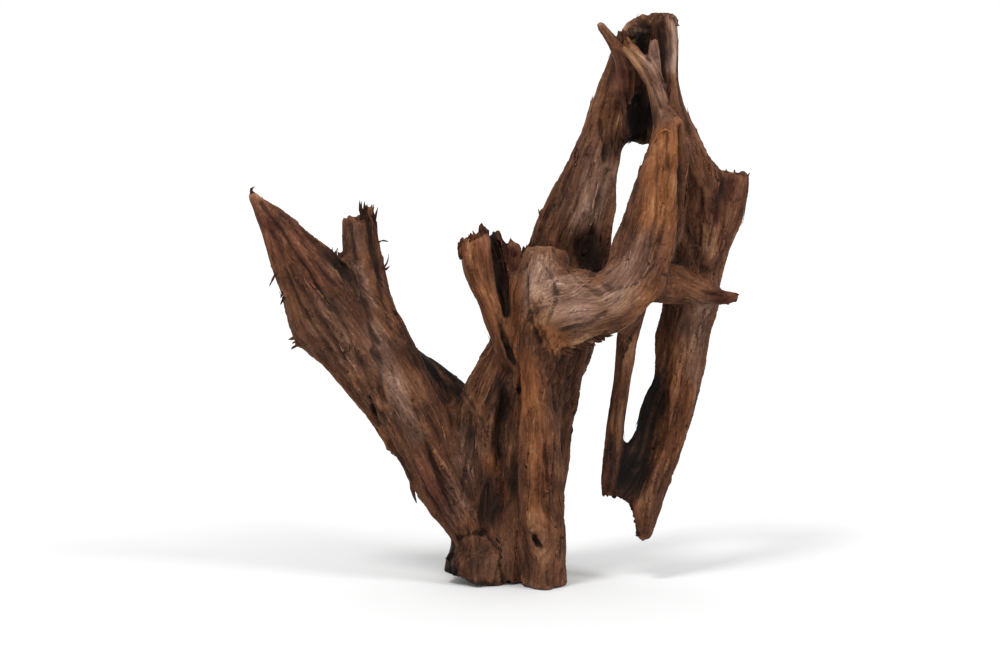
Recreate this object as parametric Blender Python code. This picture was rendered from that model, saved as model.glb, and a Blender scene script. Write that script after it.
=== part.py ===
"""A piece of driftwood: the water-worn stump of a root, standing on its broken foot.

A fan-shaped arm leans out to the left, a tall stem rises at the back to a hollow crown, a long
limb hangs from that crown on the right, and a hooked branch swings round in front of both.

The frame is in metres, +X to the right, +Y away from the viewer and +Z up. The origin is on the
floor, under the middle of the wood's outline. Stations are written in millimetres, in the frame
that the limbs are drawn in, and the finished wood is slid over the origin.
"""

import math
import random

import bmesh
import bpy
import numpy as np
from mathutils import Matrix, Vector, noise

MM = 0.001
NODE = "driftwood"

# How finely the limbs are drawn and then joined.
RING_SIDES = 28
RING_STEP = 5.0 * MM
LIMB_VOXEL = 2.0 * MM
CUT_VOXEL = 1.5 * MM
FORK_FILL = 3.0 * MM
SOFTEN_PASSES = 2
KEPT_TRIANGLES = 10900

# Worn relief: how far the surface swells and sinks, as a share of the limb's own width, over a
# distance that is longer along the grain than across it.
LUMP_SHARE = 0.10
LUMP_ACROSS = 16.0 * MM
LUMP_ALONG = 45.0 * MM
TWIST_LENGTH = 70.0 * MM

# A broken end is ragged round its rim and sunk in the middle.
RAGGED_REACH = 2.4
RAGGED_SIZE = 5.0 * MM

# A limb is (name, ridges, ridge share, ragged end in mm, stations). A station on its centre line
# is (x, y, z, half width, half depth): width is across the limb as seen from the front.
LIMBS = [
    ("stump", 9, 0.11, 0, [
        (5, 12, -8, 43, 26),
        (5, 12, 26, 40, 26),
        (6, 11, 65, 41, 28),
        (9, 10, 102, 41, 29),
        (14, 8, 137, 42, 30),
        (26, 5, 172, 38, 28),
        (33, 0, 199, 34, 26),
        (38, -4, 222, 24, 20),
    ]),
    ("front_rib", 4, 0.13, 0, [
        (34, -12, -8, 16, 21),
        (33, -14, 23, 16, 18),
        (32, -21, 53, 16, 17),
        (31, -26, 91, 17, 16),
        (29, -28, 129, 17, 16),
        (26, -28, 167, 16, 15),
        (20, -28, 197, 14, 13),
        (17, -26, 227, 11, 11),
    ]),
    ("foot_fold", 0, 0, 0, [
        (-35, 4, 10, 9, 16),
        (-23, -6, 22, 13, 14),
        (-8, -10, 25, 13, 12),
        (4, -8, 18, 8, 8),
    ]),
    ("fan_arm", 8, 0.15, 0, [
        (-19, 6, -8, 24, 26),
        (-15, 2, 27, 17, 26),
        (-39, 0, 69, 20, 26),
        (-59, -5, 111, 25, 24),
        (-77, -9, 147, 29, 22),
        (-101, -15, 184, 33, 19),
        (-122, -20, 211, 37, 16),
        (-140, -25, 234, 27, 14),
        (-154, -28, 255, 20, 11),
        (-166, -30, 276, 13, 8),
        (-177, -32, 290, 7, 5),
        (-185, -33, 300, 3, 3),
    ]),
    ("arm_stub", 5, 0.14, 6, [
        (-54, 2, 122, 19, 20),
        (-81, -2, 178, 15, 19),
        (-93, -5, 205, 15, 17),
        (-99, -6, 231, 14, 15),
        (-104, -7, 260, 13, 12),
        (-106, -7, 280, 13, 10),
    ]),
    ("arm_back", 3, 0.08, 0, [
        (2, 12, 84, 18, 14),
        (-18, 22, 113, 20, 14),
        (-45, 26, 144, 15, 12),
        (-72, 24, 172, 9, 10),
        (-88, 14, 201, 6, 8),
    ]),
    ("tall_stem", 6, 0.12, 4, [
        (27, 28, -8, 22, 22),
        (28, 28, 47, 21, 21),
        (31, 28, 100, 21, 20),
        (34, 28, 145, 23, 19),
        (43, 30, 182, 28, 18),
        (48, 30, 220, 29, 18),
        (54, 28, 250, 29, 17),
        (64, 26, 288, 26, 15),
        (74, 24, 326, 18, 14),
        (80, 20, 357, 13, 12),
        (90, 16, 388, 11, 11),
        (98, 12, 411, 9, 10),
        (104, 10, 424, 9, 9),
    ]),
    ("crown_wall", 3, 0.06, 5, [
        (116, 8, 429, 10, 7),
        (113, 14, 413, 17, 8),
        (111, 22, 387, 20, 7),
        (106, 26, 358, 20, 6),
        (102, 27, 331, 18, 5),
    ]),
    ("hanging_limb", 6, 0.12, 0, [
        (123, 4, 431, 8, 9),
        (125, 5, 411, 8, 10),
        (126, 7, 385, 8, 12),
        (129, 9, 359, 10, 13),
        (138, 11, 333, 14, 15),
        (149, 13, 305, 18, 15),
        (154, 13, 275, 21, 15),
        (149, 10, 245, 20, 15),
        (145, 8, 215, 20, 15),
        (138, 6, 185, 20, 15),
        (135, 4, 155, 18, 15),
        (125, 2, 125, 21, 14),
        (118, 0, 95, 18, 13),
        (112, -2, 69, 14, 11),
        (111, -3, 50, 9, 8),
        (109, -4, 33, 6, 4),
    ]),
    ("heel_web", 2, 0.05, 0, [
        (113, 2, 109, 12, 7),
        (100, 1, 82, 13, 7),
        (88, -2, 68, 10, 6),
    ]),
    ("side_stub", 4, 0.07, 5, [
        (151, 11, 236, 12, 8),
        (158, 14, 266, 18, 14),
        (166, 17, 291, 22, 12),
        (168, 19, 312, 23, 10),
    ]),
    ("hooked_branch", 6, 0.11, 3, [
        (33, -14, 143, 18, 18),
        (35, -24, 178, 22, 18),
        (40, -34, 209, 28, 21),
        (56, -41, 216, 28, 21),
        (77, -46, 219, 24, 19),
        (97, -46, 235, 23, 18),
        (107, -44, 259, 24, 17),
        (115, -42, 285, 22, 16),
        (120, -40, 312, 18, 15),
        (124, -38, 334, 14, 13),
        (125, -36, 351, 11, 11),
        (125, -36, 357, 9, 9),
    ]),
    ("shoulder", 3, 0.06, 2, [
        (28, -18, 187, 18, 18),
        (27, -26, 218, 20, 18),
        (32, -28, 240, 19, 16),
        (34, -22, 257, 17, 11),
    ]),
    ("forked_branch", 2, 0.08, 0, [
        (122, -32, 345, 9, 9),
        (118, -29, 364, 7, 7),
        (115, -26, 379, 7, 6),
        (110, -23, 391, 9, 6),
        (106, -20, 401, 11, 5),
    ]),
    ("left_prong", 0, 0, 3, [
        (108, -22, 390, 7, 6),
        (101, -20, 400, 7, 6),
        (94, -19, 408, 5, 5),
    ]),
    ("right_prong", 0, 0, 3, [
        (112, -22, 390, 7, 6),
        (114, -20, 403, 5, 5),
        (114, -18, 412, 4, 4),
    ]),
    ("crown_twig", 3, 0.08, 2, [
        (98, 12, 337, 4, 4),
        (99, 8, 354, 7, 7),
        (97, -1, 376, 8, 7),
        (91, -7, 396, 6, 6),
        (84, -11, 409, 5, 5),
        (77, -14, 419, 4, 4),
        (72, -15, 425, 4, 3),
    ]),
    ("thin_root", 3, 0.06, 0, [
        (101, -34, 221, 10, 11),
        (98, -28, 204, 9, 10),
        (95, -25, 189, 8, 9),
        (93, -20, 166, 7, 8),
        (90, -15, 142, 7, 8),
        (86, -8, 111, 7, 8),
        (84, -5, 80, 8, 8),
        (83, -4, 67, 6, 6),
    ]),
    ("cross_peg", 3, 0.07, 0, [
        (108, -36, 234, 15, 12),
        (124, -20, 231, 17, 11),
        (138, -9, 227, 14, 10),
        (152, -6, 222, 10, 9),
        (165, -6, 219, 6, 6),
        (175, -7, 219, 5, 5),
        (180, -7, 219, 4, 4),
    ]),
    ("split_stub", 4, 0.08, 7, [
        (11, -20, 172, 13, 12),
        (5, -20, 197, 13, 12),
        (-3, -18, 222, 15, 12),
        (-11, -16, 242, 17, 12),
        (-15, -14, 266, 17, 12),
    ]),
    ("split_shell", 2, 0.06, 5, [
        (17, -8, 193, 9, 9),
        (13, -5, 227, 8, 7),
        (9, -3, 262, 8, 5),
    ]),
]

# Rotten hollows and drying cracks, cut out of the joined limbs: (name, stations), as for a limb.
# Each lies in the skin of the wood, so that the cut is about as deep as its half depth.
HOLLOWS = [
    ("hanging_limb_hollow", [
        (122, -12, 168, 3, 4),
        (120, -12, 152, 8, 9),
        (114, -12, 124, 14, 12),
        (106, -12, 96, 13, 11),
        (99, -12, 70, 9, 8),
        (94, -12, 52, 5, 5),
    ]),
    ("knot_hole", [
        (25, -40, 46, 2, 4),
        (27, -37, 39, 3, 7),
        (30, -34, 32, 2, 4),
    ]),
    ("crotch_hollow", [
        (-122, -36, 257, 3, 6),
        (-117, -35, 246, 5, 10),
        (-111, -35, 234, 4, 8),
        (-105, -35, 220, 2, 4),
    ]),
    ("stump_pit_high", [
        (4, -19, 160, 1, 2),
        (3, -19, 147, 3, 5),
        (4, -18, 134, 6, 7),
        (1, -18, 122, 5, 6),
        (2, -17, 110, 7, 7),
        (0, -17, 98, 3, 4),
        (-2, -17, 88, 1, 2),
    ]),
    ("stump_pit_low", [
        (-6, -18, 84, 1, 2),
        (-9, -18, 74, 5, 5),
        (-9, -18, 64, 7, 6),
        (-13, -19, 54, 5, 6),
        (-11, -19, 45, 4, 4),
        (-14, -19, 36, 1, 2),
    ]),
    ("prong_notch", [
        (106, -20, 420, 5, 9),
        (106, -21, 408, 4, 9),
        (109, -23, 399, 1, 7),
    ]),
    ("crown_hollow", [
        (108, -3, 418, 2, 3),
        (107, 0, 406, 7, 9),
        (106, 3, 385, 9, 10),
        (104, 5, 362, 9, 10),
        (103, 7, 343, 6, 8),
        (102, 8, 331, 2, 3),
    ]),
    ("stem_hollow", [
        (66, 10, 280, 4, 4),
        (66, 9, 268, 9, 9),
        (66, 9, 256, 11, 10),
        (66, 9, 244, 9, 9),
        (66, 10, 234, 4, 4),
    ]),
    ("shoulder_crack", [
        (-5, -22, 276, 4, 12),
        (-2, -22, 252, 5, 14),
        (2, -24, 236, 5, 14),
        (4, -28, 220, 4, 12),
        (5, -32, 204, 1, 5),
    ]),
    ("strap_crack", [
        (0, -31, 200, 1, 3),
        (4, -32, 190, 2, 8),
        (9, -35, 177, 2, 9),
        (14, -38, 163, 1, 3),
    ]),
    ("rib_groove", [
        (14, -37, 162, 1, 4),
        (13, -35, 140, 3, 8),
        (12, -33, 118, 3, 9),
        (11, -26, 95, 3, 9),
        (12, -22, 70, 3, 8),
        (14, -20, 48, 2, 6),
        (17, -19, 30, 1, 3),
    ]),
    ("rib_slit", [
        (33, -44, 117, 1, 3),
        (34, -42, 101, 2, 6),
        (34, -41, 84, 1, 3),
    ]),
    ("arm_slit", [
        (-98, -28, 148, 1, 3),
        (-94, -23, 137, 2, 7),
        (-91, -17, 125, 1, 4),
    ]),
    ("stem_crack", [
        (90, 4, 390, 1, 4),
        (89, 5, 362, 2, 8),
        (84, 8, 342, 2, 8),
        (76, 11, 320, 1, 3),
    ]),
    ("limb_crack", [
        (128, -9, 202, 1, 3),
        (127, -9, 178, 2, 6),
        (127, -9, 150, 1, 3),
    ]),
    ("back_crack", [
        (29, 50, 34, 1, 3),
        (32, 50, 78, 3, 8),
        (35, 49, 122, 2, 8),
        (41, 49, 166, 1, 3),
    ]),
    ("back_pit", [
        (-12, 38, 62, 2, 3),
        (-8, 38, 88, 5, 8),
        (-3, 38, 112, 4, 7),
        (2, 38, 134, 1, 3),
    ]),
    ("arm_back_crack", [
        (-80, 13, 150, 1, 3),
        (-96, 7, 177, 2, 7),
        (-112, 2, 204, 1, 3),
    ]),
]
CUT_SIDES = 10
CUT_STEP = 7.0 * MM

# Longest splinters, each (root, tip, half width at the root).
SPLINTERS = [
    ((-101, -7, 272), (-98, -8, 293), 3.4),
    ((-96, -5, 270), (-94, -5, 294), 3.2),
    ((-93, -5, 262), (-90, -5, 281), 2.2),
    ((-88, -6, 240), (-84, -8, 254), 1.8),
    ((-119, -12, 244), (-122, -12, 263), 2.4),
    ((-144, -17, 190), (-159, -18, 181), 3.0),
    ((-62, -4, 98), (-62, -8, 68), 4.5),
    ((-184, -33, 296), (-181, -33, 303), 2.2),
    ((-12, -8, 258), (-12, -11, 278), 3.4),
    ((-19, -17, 256), (-17, -19, 272), 3.6),
    ((-6, -16, 258), (-4, -17, 273), 3.4),
    ((34, 28, 278), (29, 27, 285), 2.6),
    ((25, 28, 255), (20, 27, 262), 2.6),
    ((66, -46, 189), (81, -48, 197), 3.2),
    ((170, -8, 218), (170, -9, 211), 1.8),
    ((107, -3, 62), (101, -5, 44), 3.4),
    ((109, -4, 44), (106, -6, 30), 3.0),
    ((55, 26, 139), (61, 26, 136), 1.6),
]
SPLINTER_SIDES = 5
SPLINTER_FLATNESS = 0.6

# The rims of the broken ends are crowned with short splinters: how many, by limb.
RIM_SPLINTERS = {"arm_stub": 5, "side_stub": 6, "split_stub": 6, "split_shell": 3}
RIM_SEED = 4

# The underside of the left root is broken off at a slant and lifts off the floor.
HEEL_LIFT_X = -10.0 * MM
HEEL_LIFT_ANGLE = math.radians(16)

FLOOR_BLOCK = 0.5


def resampled(stations, step):
    """The stations' values along a smooth curve through them, a step apart."""
    rows = np.array(stations, float) * MM
    padded = np.vstack([2 * rows[0] - rows[1], rows, 2 * rows[-1] - rows[-2]])
    out = []
    for i in range(1, len(padded) - 2):
        a, b, c, d = padded[i - 1 : i + 3]
        steps = max(2, math.ceil(np.linalg.norm(c[:3] - b[:3]) / step))
        for t in np.arange(steps) / steps:
            out.append(
                b
                + 0.5 * t * (c - a)
                + t**2 * (a - 2.5 * b + 2 * c - 0.5 * d)
                + t**3 * (1.5 * (b - c) + 0.5 * (d - a))
            )
    out.append(rows[-1])
    return np.array(out)


def frame_at(tangent):
    """Unit vectors along the limb, across it as seen from the front, and through its depth."""
    along = Vector(tangent).normalized()
    across = along.cross(Vector((0, 1, 0))).normalized()
    return along, across, along.cross(across)


def tube(mesh, stations, ridges=0, ridge_share=0.0, ragged=0.0, sides=RING_SIDES, step=RING_STEP):
    """Adds one closed limb to the mesh, its skin grooved and swollen along the grain."""
    rows = resampled(stations, step)
    tangents = np.gradient(rows[:, :3], axis=0)
    chance = Vector(rows[0][:3]) / (9 * MM)
    rings = []
    travelled = 0.0
    for i, (row, tangent) in enumerate(zip(rows, tangents)):
        along, across, back = frame_at(tangent)
        if i:
            travelled += np.linalg.norm(row[:3] - rows[i - 1][:3])
        ring = []
        for side in range(sides):
            turn = math.tau * side / sides
            offset = across * row[3] * math.cos(turn) + back * row[4] * math.sin(turn)
            groove = abs(math.cos(ridges * turn / 2 + travelled / TWIST_LENGTH))
            swell = 1 + ridge_share * (2 * groove - 1.3)
            spot = chance + offset / LUMP_ACROSS + along * travelled / LUMP_ALONG
            swell += LUMP_SHARE * noise.noise(spot)
            place = Vector(row[:3]) + offset * swell
            if i == len(rows) - 1:
                place += along * ragged * MM * RAGGED_REACH * noise.noise(place / RAGGED_SIZE)
            ring.append(mesh.verts.new(place))
        rings.append(ring)
    for low, high in zip(rings, rings[1:]):
        for side in range(sides):
            other = (side + 1) % sides
            mesh.faces.new((low[side], low[other], high[other], high[side]))
    mesh.faces.new(rings[0])
    end = mesh.verts.new(Vector(rows[-1][:3]) - frame_at(tangents[-1])[0] * ragged * MM)
    for side in range(sides):
        mesh.faces.new((rings[-1][side], rings[-1][(side + 1) % sides], end))


def splinter(mesh, root, tip, half_width):
    """Adds one tapering spike, bent a little towards its tip."""
    root, tip = Vector(root) * MM, Vector(tip) * MM
    along, across, back = frame_at(tip - root)
    rings = []
    for share, width in ((0, 1.0), (0.55, 0.75), (1, 0.22)):
        centre = root.lerp(tip, share) + across * half_width * MM * 0.5 * share**2
        ring = []
        for side in range(SPLINTER_SIDES):
            turn = math.tau * side / SPLINTER_SIDES
            spoke = across * math.cos(turn) + back * math.sin(turn) * SPLINTER_FLATNESS
            ring.append(mesh.verts.new(centre + spoke * half_width * MM * width))
        rings.append(ring)
    for low, high in zip(rings, rings[1:]):
        for side in range(SPLINTER_SIDES):
            other = (side + 1) % SPLINTER_SIDES
            mesh.faces.new((low[side], low[other], high[other], high[side]))
    mesh.faces.new(rings[0])
    mesh.faces.new(rings[-1])


def new_object(name, mesh, collection):
    """An object made from the finished bmesh, with its faces pointing out."""
    bmesh.ops.recalc_face_normals(mesh, faces=mesh.faces)
    data = bpy.data.meshes.new(name)
    mesh.to_mesh(data)
    mesh.free()
    obj = bpy.data.objects.new(name, data)
    collection.objects.link(obj)
    return obj


def apply_modifiers(obj):
    """Replaces the object's mesh by what its modifiers make of it."""
    graph = bpy.context.evaluated_depsgraph_get()
    made = bpy.data.meshes.new_from_object(obj.evaluated_get(graph))
    obj.modifiers.clear()
    obj.data = made
    made.name = obj.name


def remesh(obj, size):
    fuse = obj.modifiers.new("Fuse", "REMESH")
    fuse.mode = "VOXEL"
    fuse.voxel_size = size


def swell(obj, distance):
    push = obj.modifiers.new("Swell", "DISPLACE")
    push.mid_level = 0
    push.strength = distance


def joined_limbs(collection):
    """All the limbs as one body: swollen into each other and shrunk back, so that wood fills the
    forks between them, then softened."""
    mesh = bmesh.new()
    for _, ridges, ridge_share, ragged, stations in LIMBS:
        tube(mesh, stations, ridges, ridge_share, ragged)
    wood = new_object(NODE, mesh, collection)
    remesh(wood, LIMB_VOXEL)
    swell(wood, FORK_FILL)
    remesh(wood, LIMB_VOXEL)
    swell(wood, -FORK_FILL)
    remesh(wood, LIMB_VOXEL)
    soften = wood.modifiers.new("Soften", "SMOOTH")
    soften.factor = 0.5
    soften.iterations = SOFTEN_PASSES
    apply_modifiers(wood)
    return wood


def thin_out(wood):
    """Draws the cut and splintered wood as one even skin, then keeps the triangles that matter
    most for its shape."""
    remesh(wood, CUT_VOXEL)
    apply_modifiers(wood)
    triangles = sum(len(face.vertices) - 2 for face in wood.data.polygons)
    thin = wood.modifiers.new("Thin out", "DECIMATE")
    thin.ratio = KEPT_TRIANGLES / triangles
    apply_modifiers(wood)


def combine(wood, operation, helpers):
    """One Boolean between the wood and a collection of helper objects, which are then removed."""
    cut = wood.modifiers.new(operation.title(), "BOOLEAN")
    cut.operation = operation
    cut.solver = "MANIFOLD"
    cut.operand_type = "COLLECTION"
    cut.collection = helpers
    apply_modifiers(wood)
    for helper in list(helpers.objects):
        bpy.data.objects.remove(helper)
    bpy.data.collections.remove(helpers)


def helper_collection(name):
    made = bpy.data.collections.new(name)
    bpy.context.scene.collection.children.link(made)
    return made


def block(name, collection):
    """A block whose top face lies on the floor, centred under the wood."""
    mesh = bmesh.new()
    bmesh.ops.create_cube(mesh, size=FLOOR_BLOCK)
    bmesh.ops.translate(mesh, verts=mesh.verts, vec=(0, 0, -FLOOR_BLOCK / 2))
    return new_object(name, mesh, collection)


def cut_hollows(wood):
    cutters = helper_collection("hollows")
    for name, stations in HOLLOWS:
        mesh = bmesh.new()
        tube(mesh, stations, sides=CUT_SIDES, step=CUT_STEP)
        new_object(name, mesh, cutters)
    combine(wood, "DIFFERENCE", cutters)


def centre_over_origin(wood):
    """Slides the wood until the middle of its outline, seen from above, is over the origin."""
    rows = np.array([vertex.co for vertex in wood.data.vertices])
    middle = (rows.min(0) + rows.max(0)) / 2
    wood.data.transform(Matrix.Translation((-middle[0], -middle[1], 0)))


def cut_foot(wood):
    """Cuts the flat that the stump stands on, and the slant beside it."""
    cutters = helper_collection("blocks")
    block("floor_block", cutters)
    slant = block("slant_block", cutters)
    slant.rotation_euler.y = HEEL_LIFT_ANGLE
    slant.location.x = HEEL_LIFT_X - FLOOR_BLOCK / 2 * math.cos(HEEL_LIFT_ANGLE)
    slant.location.z = FLOOR_BLOCK / 2 * math.sin(HEEL_LIFT_ANGLE)
    bpy.context.view_layer.update()
    combine(wood, "DIFFERENCE", cutters)


def rim_splinters():
    """Short splinters set round the rims of the broken ends, as (root, tip, half width)."""
    chance = random.Random(RIM_SEED)
    found = []
    for name, _, _, _, stations in LIMBS:
        x, y, z, half_width, half_depth = stations[-1]
        end = Vector((x, y, z))
        along, across, back = frame_at(end - Vector(stations[-2][:3]))
        count = RIM_SPLINTERS.get(name, 0)
        for number in range(count):
            turn = math.tau * (number + chance.uniform(-0.3, 0.3)) / count
            spoke = across * half_width * math.cos(turn) + back * half_depth * math.sin(turn)
            root = end + spoke * 0.72 - along * 6
            tip = end + spoke * chance.uniform(0.7, 0.95) + along * chance.uniform(0, 6)
            found.append((root, tip, chance.uniform(2.6, 4.2)))
    return found


def add_splinters(wood):
    """Joins the splinters to the broken ends."""
    splinters = helper_collection("splinters")
    for number, (root, tip, half_width) in enumerate(SPLINTERS + rim_splinters()):
        mesh = bmesh.new()
        splinter(mesh, root, tip, half_width)
        new_object(f"splinter_{number}", mesh, splinters)
    combine(wood, "UNION", splinters)


def wood_material():
    material = bpy.data.materials.new("weathered_wood")
    material.use_nodes = True
    shader = material.node_tree.nodes["Principled BSDF"]
    shader.inputs["Base Color"].default_value = (0.075, 0.038, 0.024, 1)
    shader.inputs["Roughness"].default_value = 0.72
    shader.inputs["Metallic"].default_value = 0.0
    return material


def main():
    for obj in list(bpy.data.objects):
        bpy.data.objects.remove(obj)
    wood = joined_limbs(bpy.context.scene.collection)
    cut_hollows(wood)
    add_splinters(wood)
    thin_out(wood)
    centre_over_origin(wood)
    cut_foot(wood)
    wood.data.materials.clear()
    wood.data.materials.append(wood_material())
    wood.data.shade_smooth()


main()
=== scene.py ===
"""The piece of driftwood from the photograph, standing on a plain white studio floor.

Lengths are in metres, +X to the right, +Y away from the viewer and +Z up. Places along the wood
are written in millimetres, in the frame in which its limbs are drawn.
"""

import math

import bmesh
import bpy
import numpy as np
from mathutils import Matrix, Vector
from mathutils.bvhtree import BVHTree


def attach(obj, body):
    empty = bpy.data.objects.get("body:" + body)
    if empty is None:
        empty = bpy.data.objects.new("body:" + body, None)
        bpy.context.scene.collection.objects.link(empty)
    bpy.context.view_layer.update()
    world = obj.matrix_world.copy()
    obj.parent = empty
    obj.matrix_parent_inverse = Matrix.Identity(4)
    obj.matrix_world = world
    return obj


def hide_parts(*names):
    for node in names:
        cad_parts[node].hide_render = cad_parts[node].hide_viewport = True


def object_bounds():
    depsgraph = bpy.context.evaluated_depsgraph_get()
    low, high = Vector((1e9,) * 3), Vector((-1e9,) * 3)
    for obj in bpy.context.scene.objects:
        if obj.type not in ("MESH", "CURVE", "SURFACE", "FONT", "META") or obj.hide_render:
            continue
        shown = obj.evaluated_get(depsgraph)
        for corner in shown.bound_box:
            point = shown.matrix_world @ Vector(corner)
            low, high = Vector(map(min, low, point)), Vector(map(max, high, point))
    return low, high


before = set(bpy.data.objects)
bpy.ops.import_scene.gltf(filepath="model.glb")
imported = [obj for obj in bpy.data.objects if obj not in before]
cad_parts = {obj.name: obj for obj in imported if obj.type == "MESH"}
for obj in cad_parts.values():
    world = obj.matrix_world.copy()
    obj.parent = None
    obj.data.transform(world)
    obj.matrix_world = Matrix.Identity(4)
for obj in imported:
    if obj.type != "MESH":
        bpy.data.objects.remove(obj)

CAD_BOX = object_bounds()

# The body of the driftwood
# One water-worn stump of root wood, grown in one piece. Its bark is gone, and years under water
# stained it dark and washed the soft wood out from between the long fibres, which stand as ridges.
MM = 0.001

# The limbs are drawn in a frame of their own, which lies this far from the model's.
DRAWN_TO_MODEL = np.array((-1.2, 7.8, 0.0)) * MM

# The run of the fibres: for each limb, points on its centre line from the foot outwards, as
# (x, y, z, half width). The fan-shaped arm has three lines, because its fibres spread.
GRAIN_LINES = {
    "stump": [(5, 12, -8, 42), (5, 12, 26, 40), (6, 11, 65, 41), (9, 10, 102, 41),
              (13, 8, 137, 43), (28, 5, 169, 36), (33, 0, 199, 34), (38, -4, 222, 24)],
    "left_root": [(-16, -2, 2, 16), (-22, -6, 40, 16), (-36, -8, 70, 18), (-52, -10, 98, 20)],
    "front_rib": [(34, -12, -8, 16), (33, -14, 23, 16), (32, -21, 53, 16), (31, -26, 91, 17),
                  (29, -28, 129, 17), (26, -28, 167, 16), (20, -28, 197, 14), (17, -26, 227, 11)],
    "foot_fold": [(-36, 2, 8, 9), (-23, -8, 24, 13), (-6, -12, 27, 13), (6, -8, 16, 8)],
    "fan_middle": [(-40, 0, 69, 21), (-59, -5, 111, 22), (-77, -9, 147, 20), (-104, -15, 190, 18),
                   (-130, -20, 225, 18), (-153, -28, 258, 16), (-178, -32, 290, 10)],
    "fan_low": [(-58, -4, 100, 10), (-92, -12, 128, 12), (-122, -18, 162, 14),
                (-146, -22, 196, 14), (-162, -28, 240, 12), (-184, -33, 300, 8)],
    "arm_stub": [(-54, 2, 112, 17), (-74, -3, 165, 16), (-89, -5, 205, 16), (-99, -6, 231, 14),
                 (-104, -7, 262, 13), (-106, -7, 292, 13)],
    "arm_back": [(2, 12, 84, 18), (-18, 22, 113, 20), (-45, 26, 144, 15), (-70, 24, 174, 10),
                 (-85, 14, 203, 7)],
    "tall_stem": [(27, 28, -8, 22), (28, 28, 47, 21), (31, 28, 100, 21), (34, 28, 145, 23),
                  (43, 30, 182, 28), (48, 30, 220, 29), (53, 28, 250, 28), (63, 26, 288, 25),
                  (74, 24, 326, 18), (80, 20, 357, 13), (88, 16, 388, 11), (104, 10, 432, 9)],
    "crown_wall": [(102, 27, 331, 18), (106, 26, 358, 20), (111, 22, 387, 20), (113, 14, 413, 17),
                   (116, 8, 436, 10)],
    "hanging_limb": [(121, 4, 436, 9), (123, 5, 411, 8), (125, 7, 385, 8), (129, 9, 359, 10),
                     (138, 11, 333, 14), (149, 13, 305, 18), (154, 13, 275, 21),
                     (149, 10, 245, 20), (145, 8, 215, 20), (138, 6, 185, 20), (134, 4, 155, 17),
                     (124, 2, 125, 20), (117, 0, 95, 19), (112, -2, 69, 14), (109, -4, 28, 7)],
    "heel_web": [(118, 4, 130, 12), (102, 1, 88, 12), (88, -2, 66, 10)],
    "side_stub": [(151, 11, 236, 12), (158, 14, 266, 18), (165, 17, 291, 21), (168, 19, 318, 22)],
    "hooked_branch": [(33, -14, 143, 18), (35, -24, 178, 22), (40, -34, 209, 28),
                      (56, -41, 216, 28), (77, -46, 219, 24), (97, -46, 235, 23),
                      (109, -44, 259, 23), (115, -42, 285, 22), (120, -40, 312, 18),
                      (124, -38, 334, 14), (125, -36, 360, 10)],
    "shoulder": [(28, -18, 187, 18), (27, -26, 218, 20), (32, -28, 240, 19), (34, -22, 262, 17)],
    "forked_branch": [(122, -32, 345, 9), (118, -29, 364, 7), (115, -26, 379, 7),
                      (110, -23, 391, 9), (101, -20, 402, 6), (92, -19, 412, 4)],
    "right_prong": [(110, -22, 388, 7), (112, -20, 404, 5), (112, -18, 416, 3)],
    "crown_twig": [(98, 12, 337, 4), (99, 8, 354, 7), (97, -1, 376, 8), (91, -7, 396, 6),
                   (84, -11, 409, 5), (70, -15, 428, 4)],
    "thin_root": [(101, -34, 221, 10), (98, -28, 204, 9), (95, -25, 189, 8), (92, -20, 166, 8),
                  (89, -15, 142, 7), (86, -8, 111, 8), (83, -5, 80, 8), (83, -4, 64, 6)],
    "cross_peg": [(108, -36, 234, 15), (126, -24, 230, 16), (141, -14, 225, 13),
                  (154, -11, 221, 9), (182, -8, 219, 4)],
    "split_stub": [(13, -20, 172, 12), (6, -20, 200, 14), (-4, -18, 223, 16), (-11, -16, 242, 17),
                   (-17, -14, 272, 18)],
    "split_shell": [(20, -6, 193, 10), (18, -2, 227, 10), (16, 0, 262, 10)],
}

# Knots, where the fibres swirl round a lost twig: (x, y, z) and radius.
KNOTS = [
    ((29, -31, 40), 20),
    ((44, -52, 236), 21),
    ((104, -58, 226), 13),
    ((-8, -22, 24), 12),
    ((-150, -32, 242), 12),
    ((60, 40, 246), 14),
    ((8, 40, 90), 13),
]

# How the grain is worked out: the spacing of its samples and of its grid, how sharply the run of
# one limb gives way to the next, how far a fibre strays from its limb's line, and how far along a
# fibre its streaks are drawn out. The way along a fibre starts from a guess, and settles.
SAMPLE_STEP = 4.0 * MM
FIELD_CELL = 5.0 * MM
FIELD_MARGIN = 8.0 * MM
FIELD_CHUNK = 8000
FIELD_SHARPNESS = 1.6
NOISE_CELLS = 128
STREAK_BLURS = 4
STREAK_CELLS = 6.0
WANDER = 0.40
WANDER_LENGTH = 20.0 * MM
WANDER_SEED = 40
FOLLOW_STEP = 2.0 * MM
FOLLOW_COUNT = 10
FIRST_LEAN = (0.31, 0.92, 0.22)
SETTLING_TURNS = 4

# The skin, and the ridges that are carved into it along the fibres, as (width, height, seed).
# Cords and fibres are round: their noise is folded at its middle and capped, in units of its
# spread, and the skin lies at their mean height.
SKIN_VOXEL = 1.05 * MM
SKIN_TRIANGLES = 196000
BUNDLES = (11.0 * MM, 0.54 * MM, 20)
CORDS = (5.5 * MM, 0.62 * MM, 21)
FIBRES = (2.6 * MM, 0.36 * MM, 22)
RIDGE_TOP = 1.6
RIDGE_MEAN = 0.8

# Splits between the fibres, as (spacing, seed, seed of the patches that they open in).
SPLITS = ((9.0 * MM, 31, 36), (5.0 * MM, 32, 37))
SPLIT_SHARE = 0.14
SPLIT_DEPTH = 1.5 * MM
SPLIT_PATCH = 16 * MM
SPLIT_PATCH_GAIN = 1.2
SPLIT_PATCH_LOSS = 0.1

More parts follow.
